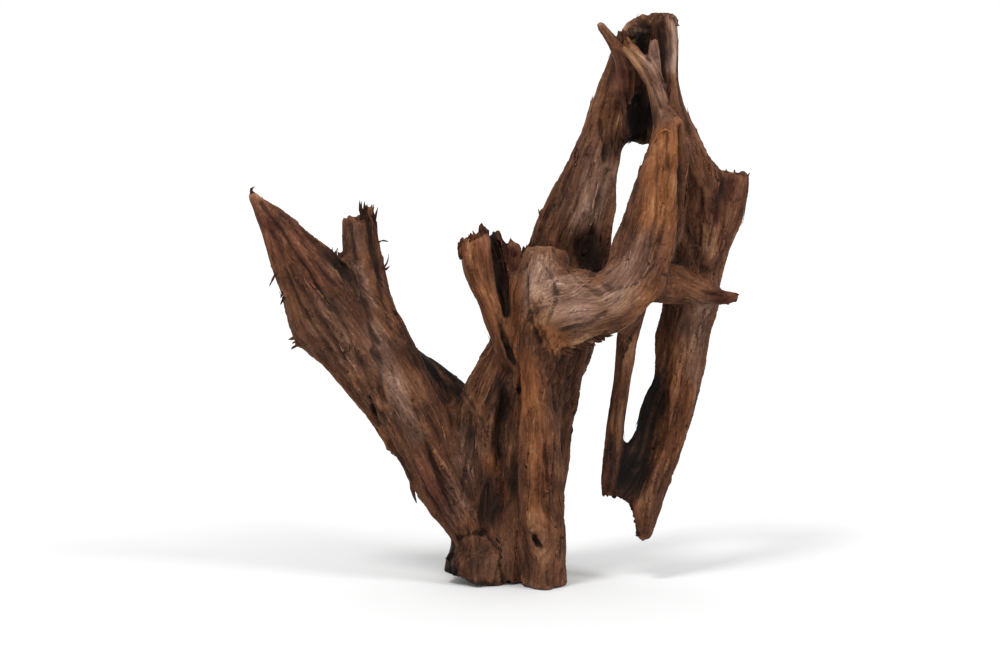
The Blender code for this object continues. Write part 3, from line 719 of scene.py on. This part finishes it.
def carved(paths):
    """How far the skin is pushed out at each vertex, and its height from -1 to 1 for the colour.
    Cords and fibres are round, with a sharp groove between each two."""
    width, height, seed = BUNDLES
    push = height * streaks(paths, width, seed)
    for width, height, seed in (CORDS, FIBRES):
        folded = np.minimum(np.abs(streaks(paths, width, seed)), RIDGE_TOP)
        push += height * (folded - RIDGE_MEAN)
    for width, seed, patch_seed in SPLITS:
        line = np.clip(1 - np.abs(streaks(paths, width, seed)) / SPLIT_SHARE, 0, 1)
        patches = streaks(paths, SPLIT_PATCH, patch_seed)
        push -= SPLIT_DEPTH * line * np.clip(patches * SPLIT_PATCH_GAIN - SPLIT_PATCH_LOSS, 0, 1)
    widths = SAMPLES[2][nearest_samples(paths[0])]
    thin = np.clip(widths / FULL_RELIEF_WIDTH, LEAST_RELIEF, 1)
    push = np.clip(push, -DEEPEST_RELIEF, HIGHEST_RELIEF)
    return push * thin, np.clip(push / HIGHEST_RELIEF, -1, 1)


def clip_to_box(mesh):
    """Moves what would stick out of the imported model's box back to its faces."""
    points = np.clip(positions(mesh), CAD_BOX[0], CAD_BOX[1])
    mesh.vertices.foreach_set("co", points.astype(np.float32).ravel())


def body_paleness(skin, streak, broad, height, depth):
    """How pale the body's skin is at each vertex, with painted shade in its hollows."""
    blotch = sum(share * soft_noise(skin, width, seed) for share, width, seed in BLOTCHES)
    pale = MEAN_PALENESS + STREAK_TONE[0] * streak + BAND_TONE[0] * broad
    pale = pale + BLOTCH_TONE * blotch + RIDGE_TONE * height
    # Shade is painted into the hollows by their depth, and the rims are painted paler.
    pale += tone_values(skin) - HOLLOW_SHADE * np.clip(depth / HOLLOW_DEPTH, *HOLLOW_RANGE)
    return pale


def body_mesh():
    """Carves and paints the skin of the body, and thins it out."""
    wood = smoothed_copy()
    skin = positions(wood.data)
    normals = normals_of(wood.data)
    paths = fibre_paths(skin, normals)
    push, height = carved(paths)
    streak = streaks(paths, *STREAK_TONE[1:])
    broad = streaks(paths, *BAND_TONE[1:])
    groove, groove_shade = groove_values(skin, broad)
    push = (push - groove) * np.clip(skin[:, 2] / FOOT_BAND, 0, 1)
    pale = body_paleness(skin, streak, broad, height, hollowness(wood))
    stains_and_shade = stain_and_shade_values(skin, STAIN_STREAKS * streak + STAIN_BANDS * broad)
    # The shade painted into the grooves joins the rest of the painted shade.
    stains_and_shade["painted_shade"] = np.maximum(stains_and_shade["painted_shade"], groove_shade)
    carved_skin = np.clip(skin + normals * push[:, None], CAD_BOX[0], CAD_BOX[1])
    paint(wood.data, pale, stains_and_shade)
    wood.data.vertices.foreach_set("co", carved_skin.astype(np.float32).ravel())
    triangles = sum(len(face.vertices) - 2 for face in wood.data.polygons)
    thin = wood.modifiers.new("Thin out", "DECIMATE")
    thin.ratio = min(1, SKIN_TRIANGLES / triangles)
    apply_modifiers(wood)
    clip_to_box(wood.data)
    return wood


def hexed(code):
    """A colour written as in a paint chart, as the linear colour that a shader takes."""
    parts = [int(code[i : i + 2], 16) / 255 for i in (1, 3, 5)]
    return [p / 12.92 if p <= 0.04045 else ((p + 0.055) / 1.055) ** 2.4 for p in parts] + [1.0]


def add_node(tree, kind, settings=None, links=None, stops=()):
    """Adds a node with its settings, the links into it and, on a colour ramp, its stops."""
    node = tree.nodes.new(kind)
    for name, value in (settings or {}).items():
        if isinstance(name, str) and hasattr(node, name):
            setattr(node, name, value)
        else:
            node.inputs[name].default_value = value
    for name, source in (links or {}).items():
        tree.links.new(source, node.inputs[name])
    for number, (place, code) in enumerate(stops):
        marks = node.color_ramp.elements
        mark = marks[number] if number < 2 else marks.new(place)
        mark.position = place
        mark.color = hexed(code)
    return node


# Weathered bogwood, washed and dried: dark red-brown, with paler dry fibres on its ridges. It is
# matt, and fine dark splits run between its fibres. Sizes are in millimetres across, through and
# along the limb. The streaks are drawn coarser than single fibres, which would not show.
BROWN = [(0.0, "#130905"), (0.3, "#2f1b11"), (0.55, "#4d3021"), (0.78, "#6b4a35"), (1.0, "#8a664c")]
GOLD = [(0.0, "#1c0d05"), (0.3, "#43230f"), (0.55, "#683c1f"), (0.8, "#875431"), (1.0, "#a37b54")]
GREY = [(0.0, "#1e140f"), (0.3, "#422e25"), (0.55, "#674b3e"), (0.8, "#8a6d5e"), (1.0, "#a78f81")]
RED = [(0.0, "#160804"), (0.3, "#36170d"), (0.55, "#522b1c"), (0.8, "#6d4231"), (1.0, "#85604e")]
# The very deep brown that the painted shade of hollows, cracks and shaded faces is mixed towards.
PAINTED_SHADE_COLOUR = "#0c0604"
STREAK_SIZE = (1.5, 1.5, 20.0)
SPLIT_SIZE = (3.2, 3.2, 34.0)
FLECK_SIZE = (1.6, 1.6, 3.4)
STREAK_CONTRAST = 0.62
SPLIT_WIDTH = 0.025
SPLIT_DARKNESS = 0.13
FLECK_RANGE = (0.54, 0.70)
FLECK_TONE = 0.20
WARM_GOLD = 0.45
DARK_ROUGHNESS = 0.90
PALE_ROUGHNESS = 0.58
BUMP_STRENGTH = 0.55
BUMP_HEIGHT = 1.0 * MM
WOOD_SPECULAR = 0.16

# The numbers of the colour mixing node's sockets, whose names are shared by other kinds of value.
MIX_FACTOR, MIX_A, MIX_B, MIX_RESULT = 0, 6, 7, 2


def grain_noises(tree, place):
    """Three noises that are drawn out along the fibres, each at a size of its own."""
    noises = {}
    for pattern, size in (("streaks", STREAK_SIZE), ("splits", SPLIT_SIZE), ("flecks", FLECK_SIZE)):
        squeeze = add_node(
            tree,
            "ShaderNodeMapping",
            {"Scale": tuple(1 / length for length in size)},
            {"Vector": place},
        )
        noise = add_node(
            tree,
            "ShaderNodeTexNoise",
            {"Scale": 1.0, "Detail": 4.0, "Roughness": 0.62, "Distortion": 0.2},
            {"Vector": squeeze.outputs["Vector"]},
        )
        noises[pattern] = noise.outputs["Fac"]
    return noises


def fine_relief(tree, noises):
    """The height of the finest streaks and splits, which is also how they shade the wood."""
    streak = add_node(
        tree,
        "ShaderNodeMath",
        {"operation": "MULTIPLY_ADD", 1: STREAK_CONTRAST, 2: -0.5 * STREAK_CONTRAST},
        {0: noises["streaks"]},
    )
    middle = add_node(tree, "ShaderNodeMath", {"operation": "ADD", 1: -0.5}, {0: noises["splits"]})
    gap = add_node(tree, "ShaderNodeMath", {"operation": "ABSOLUTE"}, {0: middle.outputs["Value"]})
    split = add_node(
        tree,
        "ShaderNodeMapRange",
        {"From Min": 0.0, "From Max": SPLIT_WIDTH, "To Min": -SPLIT_DARKNESS, "To Max": 0.0},
        {"Value": gap.outputs["Value"]},
    )
    relief = add_node(
        tree,
        "ShaderNodeMath",
        {"operation": "ADD"},
        {0: streak.outputs["Value"], 1: split.outputs["Result"]},
    )
    return relief.outputs["Value"]


def wood_tone(tree, noises, pale, relief):
    """How pale the wood is, from 0 to 1, with its flecks and its finest streaks."""
    low, high = FLECK_RANGE
    fleck = add_node(
        tree,
        "ShaderNodeMapRange",
        {"From Min": low, "From Max": high, "To Min": 0.0, "To Max": FLECK_TONE},
        {"Value": noises["flecks"]},
    )
    flecked = add_node(
        tree,
        "ShaderNodeMath",
        {"operation": "ADD"},
        {0: pale, 1: fleck.outputs["Result"]},
    )
    tone = add_node(
        tree,
        "ShaderNodeMath",
        {"operation": "ADD", "use_clamp": True},
        {0: flecked.outputs["Value"], 1: relief},
    )
    return tone.outputs["Value"]


def wood_colour(tree, stored, tone):
    """The brown of the wood, warmer in patches, with its stain colours and its painted shade laid over
    it.
    """
    ramps = {}
    for kind, stops in (("brown", BROWN), ("gold", GOLD), ("grey", GREY), ("red", RED)):
        ramps[kind] = add_node(tree, "ShaderNodeValToRGB", links={"Fac": tone}, stops=stops)
    warm = add_node(
        tree,
        "ShaderNodeMath",
        {"operation": "MULTIPLY", 1: WARM_GOLD},
        {0: stored["warmth"].outputs["Fac"]},
    )
    colour = ramps["brown"].outputs["Color"]
    layers = [("gold", warm.outputs["Value"])]
    layers += [(kind, stored[kind].outputs["Fac"]) for kind in ("red", "gold", "grey")]
    for kind, amount in layers:
        mixed = add_node(
            tree,
            "ShaderNodeMix",
            {"data_type": "RGBA"},
            {MIX_FACTOR: amount, MIX_A: colour, MIX_B: ramps[kind].outputs["Color"]},
        )
        colour = mixed.outputs[MIX_RESULT]
    # The painted shade is laid over last.
    with_painted_shade = add_node(
        tree,
        "ShaderNodeMix",
        {"data_type": "RGBA", MIX_B: hexed(PAINTED_SHADE_COLOUR)},
        {MIX_FACTOR: stored["painted_shade"].outputs["Fac"], MIX_A: colour},
    )
    return with_painted_shade.outputs[MIX_RESULT]


def wood_material(name):
    """The material that every piece of the wood shares."""
    material = bpy.data.materials.new(name)
    material.use_nodes = True
    tree = material.node_tree
    shader = tree.nodes["Principled BSDF"]
    stored = {}
    for layer in ("pale", "warmth", "grain_place") + STAIN_AND_SHADE_KINDS:
        stored[layer] = add_node(tree, "ShaderNodeAttribute", {"attribute_name": layer})
    noises = grain_noises(tree, stored["grain_place"].outputs["Vector"])
    relief = fine_relief(tree, noises)
    tone = wood_tone(tree, noises, stored["pale"].outputs["Fac"], relief)
    rough = add_node(
        tree,
        "ShaderNodeMapRange",
        {"To Min": DARK_ROUGHNESS, "To Max": PALE_ROUGHNESS},
        {"Value": tone},
    )
    bump = add_node(
        tree,
        "ShaderNodeBump",
        {"Strength": BUMP_STRENGTH, "Distance": BUMP_HEIGHT},
        {"Height": relief},
    )
    tree.links.new(wood_colour(tree, stored, tone), shader.inputs["Base Color"])
    tree.links.new(rough.outputs["Result"], shader.inputs["Roughness"])
    tree.links.new(bump.outputs["Normal"], shader.inputs["Normal"])
    shader.inputs["Specular IOR Level"].default_value = WOOD_SPECULAR
    return material


def dress(obj):
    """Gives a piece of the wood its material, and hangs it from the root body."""
    obj.data.materials.clear()
    obj.data.materials.append(WOOD)
    obj.data.shade_smooth()
    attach(obj, "root")


SAMPLES = grain_samples()
FIELD = grain_field(SAMPLES)
WOOD = wood_material("weathered_bogwood")

body = body_mesh()
dress(body)
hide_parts("driftwood")

# The loose fibres
# Slivers of the same wood that have lifted off its surface as the soft wood between them rotted.
# They lie along the grain, most of them thin, and a few stand off at one end. Lengths are in mm.
SLIVER_COUNT = 1700
SLIVER_RINGS = 9
SLIVER_STEP = (1.2, 4.2)
SLIVER_HALF_WIDTH = (0.35, 2.1)
SLIVER_HEIGHT = (0.15, 0.55)
LIFTED_SHARE = 0.12
LIFT_REACH = 1.7
SLIVER_SEED = 5
SLIVER_TAPER = 0.6
SLIVER_END = 0.02
SLIVER_THINNESS = 4
SLIVER_RAGGEDNESS = 0.25
LIFT_DELAY = 0.6
SLIVER_PALENESS = (0.52, 0.10)
# How much of the wood's painted shade a sliver takes.
SLIVER_SHADE_SHARE = 0.9

# How far a strip reaches into the wood, as a share of its height over it.
STRIP_ROOT = 0.6


def strip_mesh(name, centres, sides, outs):
    """An object of closed strips with three sides. Each is given by the centres of its rings, and
    for each ring its half width to the side and its height out of the wood."""
    count, rings = centres.shape[:2]
    low = centres - outs * STRIP_ROOT
    corners = np.stack([low - sides, centres + outs, low + sides], 2)
    first = (np.arange(count) * rings * 3)[:, None, None]
    ring = (np.arange(rings - 1) * 3)[None, :, None]
    side = np.arange(3)[None, None, :]
    here = first + ring + side
    beside = first + ring + (side + 1) % 3
    quads = np.stack([here, beside, beside + 3, here + 3], -1).reshape(-1, 4)
    starts = (first[:, 0] + np.array([[2, 1, 0]])).reshape(-1, 3)
    ends = (first[:, 0] + (rings - 1) * 3 + np.array([[0, 1, 2]])).reshape(-1, 3)
    data = bpy.data.meshes.new(name)
    faces = quads.tolist() + starts.tolist() + ends.tolist()
    data.from_pydata(corners.reshape(-1, 3).tolist(), [], faces)
    mesh = bmesh.new()
    mesh.from_mesh(data)
    bmesh.ops.recalc_face_normals(mesh, faces=mesh.faces)
    mesh.to_mesh(data)
    mesh.free()
    made = bpy.data.objects.new(name, data)
    bpy.context.scene.collection.objects.link(made)
    return made


def sliver_courses(wood, rng):
    """Where the rings of each sliver lie on the wood, and the ways along and out of it there."""
    skin = positions(wood.data)
    faces = [tuple(face.vertices) for face in wood.data.polygons]
    tree = BVHTree.FromPolygons(skin.tolist(), faces)
    chosen = rng.choice(len(skin), SLIVER_COUNT, replace=False)
    place = skin[chosen]
    normal = normals_of(wood.data)[chosen]
    heading = unit(np.cross(normal, rng.standard_normal((SLIVER_COUNT, 3)))).astype(np.float32)
    step = rng.uniform(*SLIVER_STEP, (SLIVER_COUNT, 1)) * MM
    centres, runs, ups = [], [], []
    for _ in range(SLIVER_RINGS):
        centres.append(place)
        ups.append(normal)
        heading = turned_along(place, heading)
        heading = unit(heading - (heading * normal).sum(1, keepdims=True) * normal)
        runs.append(heading)
        found = [tree.find_nearest(Vector(spot)) for spot in place + heading * step]
        place = np.array([spot for spot, _, _, _ in found], np.float32)
        normal = np.array([up for _, up, _, _ in found], np.float32)
    return [np.stack(rows, 1) for rows in (centres, runs, ups)]


def sliver_mesh(wood):
    """Thin slivers that follow the fibres over the wood's skin."""
    rng = np.random.default_rng(SLIVER_SEED)
    centres, runs, ups = sliver_courses(wood, rng)
    share = np.linspace(0, 1, SLIVER_RINGS)[None, :, None]
    swell = np.sin(math.pi * np.clip(share, SLIVER_END, 1 - SLIVER_END)) ** SLIVER_TAPER
    thinnest, widest = SLIVER_HALF_WIDTH
    size = rng.random((SLIVER_COUNT, 1, 1)) ** SLIVER_THINNESS
    ragged = 1 + SLIVER_RAGGEDNESS * rng.standard_normal((SLIVER_COUNT, SLIVER_RINGS, 1))
    half_width = (thinnest + (widest - thinnest) * size) * MM * ragged
    height = rng.uniform(*SLIVER_HEIGHT, (SLIVER_COUNT, 1, 1)) * MM
    lifted = rng.random((SLIVER_COUNT, 1, 1)) < LIFTED_SHARE
    free = np.clip(share * (1 + LIFT_DELAY) - LIFT_DELAY, 0, 1)
    lift = lifted * LIFT_REACH * MM * free**2
    centres = centres + ups * lift
    sides = np.cross(runs, ups) * half_width * swell
    made = strip_mesh("loose_fibres", centres, sides, ups * height * swell)
    points = positions(made.data)
    own = rng.normal(*SLIVER_PALENESS, SLIVER_COUNT)
    own = np.repeat(own, SLIVER_RINGS * 3).astype(np.float32)
    # A sliver takes the tones, stain colours and painted shade of the wood where it lies, the shade a
    # little weaker.
    own += tone_values(points)
    stains_and_shade = stain_and_shade_values(points, np.zeros(len(points), np.float32))
    stains_and_shade["painted_shade"] = stains_and_shade["painted_shade"] * SLIVER_SHADE_SHARE
    clip_to_box(made.data)
    paint(made.data, own, stains_and_shade)
    return made


slivers = sliver_mesh(body)
dress(slivers)

# The torn ends
# Splinters and shreds of bark that stick out where the limbs broke off, and thin twiglets along
# the edges.
SPLINTER_RINGS = 6
SPLINTER_SEED = 8
SPLINTER_RAGGEDNESS = 0.2
SPLINTER_NARROWING = 0.5
TIP_NARROWING = 0.4
TIP_SHARPNESS = 6

# (half width, flatness, paleness, points of its centre line from the root to the tip).
SPLINTERS = [
    (0.9, 0.7, 0.35, [(-92, -8, 260), (-88, -9, 262), (-83, -9, 261)]),
    (0.9, 0.7, 0.4, [(-88, -10, 240), (-84, -11, 246), (-83, -12, 253)]),
    (0.8, 0.7, 0.3, [(-86, -10, 240), (-82, -11, 243)]),
    (1.6, 0.7, 0.35, [(-182, -33, 297), (-184, -34, 302), (-181, -34, 304)]),
    (1.0, 0.7, 0.3, [(-166, -33, 240), (-169, -34, 234), (-171, -34, 230)]),
    (1.1, 0.7, 0.15, [(-161, -32, 226), (-163, -33, 221)]),
    (1.2, 0.7, 0.15, [(-160, -32, 222), (-163, -33, 216)]),
    (2.8, 0.4, 0.45, [(-66, -10, 92), (-67, -12, 84), (-66, -13, 72), (-63, -12, 63)]),
    (1.6, 0.4, 0.5, [(-63, -10, 84), (-62, -12, 74), (-60, -12, 67)]),
    (1.6, 0.7, 0.15, [(-80, -20, 206), (-78, -21, 211), (-77, -21, 206)]),
    (1.6, 0.7, 0.6, [(17, -16, 250), (20, -17, 256), (22, -18, 261)]),
    (1.4, 0.6, 0.5, [(34, 26, 270), (31, 26, 276), (29, 26, 283)]),
    (1.1, 0.7, 0.35, [(33, 26, 276), (29, 26, 277)]),
    (0.8, 0.7, 0.25, [(50, -4, 139), (55, -5, 138), (59, -5, 137)]),
    (0.8, 0.7, 0.25, [(52, 4, 160), (56, 3, 158)]),
    (0.9, 0.8, 0.8, [(109, -46, 324), (111, -45, 334), (116, -46, 344), (121, -48, 347),
                     (127, -48, 344), (131, -49, 334)]),
]

# Where limbs broke off, shreds stand along a rim: (count, range of lengths, range of half widths,
# paleness, direction, points of the rim).
TORN_RIMS = [
    (14, (9, 19), (0.6, 1.8), 0.24, (0.05, -0.1, 1), [(-105, -10, 274), (-99, -12, 277), (-93, -9, 272)]),
    (8, (5, 10), (0.8, 2.0), 0.30, (0, 0.05, 1), [(-110, -2, 272), (-94, -1, 270)]),
    (8, (3, 5), (1.0, 2.2), 0.45, (-0.3, -0.2, 1), [(-117, -9, 272), (-112, -14, 273), (-107, -13, 273)]),
    (8, (4, 10), (0.7, 1.6), 0.35, (0.1, -0.1, 1), [(-127, -19, 250), (-118, -18, 247)]),
    (26, (4, 11), (1.6, 3.8), 0.36, (-0.15, -0.2, 1), [(-29, -18, 252), (-20, -23, 261), (-8, -21, 267)]),
    (12, (5, 11), (1.0, 2.2), 0.30, (-0.1, 0.1, 1), [(-28, -10, 250), (-8, -8, 256)]),
    (10, (4, 10), (0.7, 2.0), 0.30, (0.1, -0.1, 1), [(2, -6, 248), (8, -9, 250), (14, -8, 248)]),
    (8, (3, 6), (0.8, 1.8), 0.25, (0, -0.2, 1), [(16, -24, 254), (26, -24, 256)]),
    (12, (3, 7), (0.6, 1.6), 0.35, (0.25, -0.2, 1), [(158, 15, 306), (172, 15, 309), (186, 16, 306)]),
    (12, (3, 7), (1.4, 3.2), 0.45, (-0.3, -0.1, 1), [(87, 4, 410), (94, 2, 414), (103, 3, 417)]),
    (9, (3, 6), (1.6, 3.4), 0.50, (0, -0.1, 1), [(108, 4, 424), (114, 4, 426), (120, 2, 426)]),
    (5, (2, 4), (1.2, 2.6), 0.50, (0, -0.1, 1), [(124, 0, 426), (131, 0, 425)]),
    # This fringe is given a very low paleness as painted shade, under the crown's back wall.
    (16, (4, 8), (0.8, 2.2), 0.15, (0, -0.1, -1), [(90, 14, 341), (101, 20, 341), (112, 22, 341)]),
    (7, (2, 4), (1.4, 2.8), 0.35, (-0.6, -0.1, -1), [(99, -5, 66), (103, -6, 50), (106, -6, 36)]),
    (6, (3, 5), (0.8, 1.8), 0.55, (1, -0.1, -0.1), [(174, -8, 216), (175, -8, 222)]),
    (4, (2, 3), (0.8, 1.4), 0.30, (0.2, -0.1, -1), [(166, -8, 216), (172, -8, 216)]),
    (6, (3, 7), (0.7, 1.6), 0.40, (-0.6, -0.1, 1), [(75, -14, 419), (82, -12, 413)]),
    (6, (3, 6), (0.8, 1.8), 0.60, (-0.5, 0, 1), [(90, -18, 406), (97, -19, 409)]),
    (5, (3, 5), (0.8, 1.6), 0.60, (0.1, 0, 1), [(110, -18, 408), (116, -18, 408)]),
    (12, (4, 9), (0.8, 2.2), 0.42, (0.9, -0.1, -0.35), [(46, -44, 180), (62, -52, 191), (76, -54, 197)]),
    # These shreds are given a very low paleness as painted shade, under the foot's lifted lip.
    (12, (3, 8), (1.0, 2.6), 0.10, (-0.9, -0.3, 0.4), [(-32, -14, 8), (-35, -8, 18), (-30, -15, 28)]),
    (6, (4, 9), (0.8, 1.8), 0.50, (-1, 0, -0.5), [(-152, -20, 192), (-149, -20, 185)]),
    (6, (2, 4), (1.2, 2.6), 0.25, (0, -0.1, -1), [(78, -5, 70), (86, -6, 69), (96, -5, 68)]),
]

# A shred's root in the wood, in millimetres, how far its direction, its middle and its tip stray,
# its flatness, and the spread of its paleness.
SHRED_ROOT = 4
SHRED_STRAY = 0.13
SHRED_MIDDLE_STRAY = 0.05
SHRED_TIP_STRAY = 0.08
SHRED_FLATNESS = 0.45
SHRED_TONE_SPREAD = 0.07


def torn_splinters():
    """Random shreds along the torn rims, written as the listed splinters are."""
    rng = np.random.default_rng(SPLINTER_SEED)
    found = []
    for count, lengths, half_widths, paleness, direction, rim in TORN_RIMS:
        rim = np.array(rim, float)
        for mark in rng.uniform(0, len(rim) - 1, count):
            root = np.array([np.interp(mark, np.arange(len(rim)), rim[:, i]) for i in range(3)])
            lean = unit(unit(np.array(direction, float)) + rng.normal(0, SHRED_STRAY, 3))
            length = rng.uniform(*lengths)
            middle = root + lean * length * 0.5 + rng.normal(0, SHRED_MIDDLE_STRAY * length, 3)
            tip = root + lean * length + rng.normal(0, SHRED_TIP_STRAY * length, 3)
            half_width = rng.uniform(*half_widths)
            pale = paleness + rng.normal(0, SHRED_TONE_SPREAD)
            points = [root - lean * SHRED_ROOT, middle, tip]
            found.append((half_width, SHRED_FLATNESS, pale, points))
    return found


def splinter_mesh():
    """The splinters, each bent through its points, ragged along its edges and thin at its tip."""
    rng = np.random.default_rng(SPLINTER_SEED + 1)
    centres, sides, outs, own = [], [], [], []
    for half_width, flatness, paleness, points in SPLINTERS + torn_splinters():
        line = placed(points)
        marks = np.linspace(0, len(line) - 1, SPLINTER_RINGS)
        places = np.stack([np.interp(marks, np.arange(len(line)), line[:, i]) for i in range(3)], 1)
        runs = unit(np.gradient(places, axis=0))
        across = unit(np.cross(runs, (0, 1, 0)))
        share = np.linspace(0, 1, SPLINTER_RINGS)[:, None]
        taper = 1 - SPLINTER_NARROWING * share - TIP_NARROWING * share**TIP_SHARPNESS
        taper = taper * half_width * MM
        taper = taper * (1 + SPLINTER_RAGGEDNESS * rng.standard_normal(taper.shape))
        centres.append(places)
        sides.append(across * taper)
        outs.append(np.cross(across, runs) * taper * flatness)
        own.append(paleness)
    made = strip_mesh("torn_splinters", *(np.stack(rows) for rows in (centres, sides, outs)))
    clip_to_box(made.data)
    points = positions(made.data)
    # A splinter takes the stain colours and painted shade of the wood where it lies.
    stains_and_shade = stain_and_shade_values(points, np.zeros(len(points), np.float32))
    paint(made.data, np.repeat(own, SPLINTER_RINGS * 3).astype(np.float32), stains_and_shade)
    return made


splinters = splinter_mesh()
dress(splinters)

# The studio
# A white sweep of paper under two large soft lamps, a stronger one up at the front left and a
# weaker one at the front right, in a white room. The camera looks a few degrees down, past a
# point at the given height on the upright line through the drawn frame's origin.
FLOOR_RADIUS = 40.0
CAMERA_HEIGHT = 0.191
CAMERA_DISTANCE = 2.2
CAMERA_RISE = math.radians(7)
LENS_MM = 105
SENSOR_WIDTH_MM = 36

# Matt white photographer's paper, which takes a soft shadow and no gloss.
PAPER_WHITE = "#d5d5d5"
PAPER_ROUGHNESS = 0.9
PAPER_SPECULAR = 0.1

floor_mesh = bmesh.new()
bmesh.ops.create_circle(floor_mesh, cap_ends=True, segments=96, radius=FLOOR_RADIUS)
floor_data = bpy.data.meshes.new("floor")
floor_mesh.to_mesh(floor_data)
floor_mesh.free()
floor = bpy.data.objects.new("floor", floor_data)
bpy.context.scene.collection.objects.link(floor)
paper = bpy.data.materials.new("white_paper")
paper.use_nodes = True
paper_shader = paper.node_tree.nodes["Principled BSDF"]
paper_shader.inputs["Base Color"].default_value = hexed(PAPER_WHITE)
paper_shader.inputs["Roughness"].default_value = PAPER_ROUGHNESS
paper_shader.inputs["Specular IOR Level"].default_value = PAPER_SPECULAR
floor.data.materials.append(paper)

world = bpy.data.worlds.new("white_room")
world.use_nodes = True
world.node_tree.nodes["Background"].inputs["Color"].default_value = (1, 1, 1, 1)
world.node_tree.nodes["Background"].inputs["Strength"].default_value = 1.0
bpy.context.scene.world = world

# The lamps: (name, direction from the wood, softness in degrees, strength).
LAMPS = [
    ("key_lamp", (-0.30, -0.46, 0.84), 14, 1.5),
    ("fill_lamp", (0.60, -0.40, 0.60), 18, 1.2),
]
for name, direction, softness, strength in LAMPS:
    light = bpy.data.lights.new(name, "SUN")
    light.angle = math.radians(softness)
    light.energy = strength
    lamp = bpy.data.objects.new(name, light)
    lamp.rotation_euler = Vector(direction).to_track_quat("Z", "Y").to_euler()
    bpy.context.scene.collection.objects.link(lamp)

camera_data = bpy.data.cameras.new("camera")
camera_data.lens = LENS_MM
camera_data.sensor_width = SENSOR_WIDTH_MM
camera = bpy.data.objects.new("camera", camera_data)
camera.location = (
    DRAWN_TO_MODEL[0],
    DRAWN_TO_MODEL[1] - CAMERA_DISTANCE * math.cos(CAMERA_RISE),
    CAMERA_HEIGHT + CAMERA_DISTANCE * math.sin(CAMERA_RISE),
)
camera.rotation_euler = (math.pi / 2 - CAMERA_RISE, 0, 0)
bpy.context.scene.collection.objects.link(camera)
bpy.context.scene.camera = camera
bpy.context.scene.view_settings.view_transform = "Standard"
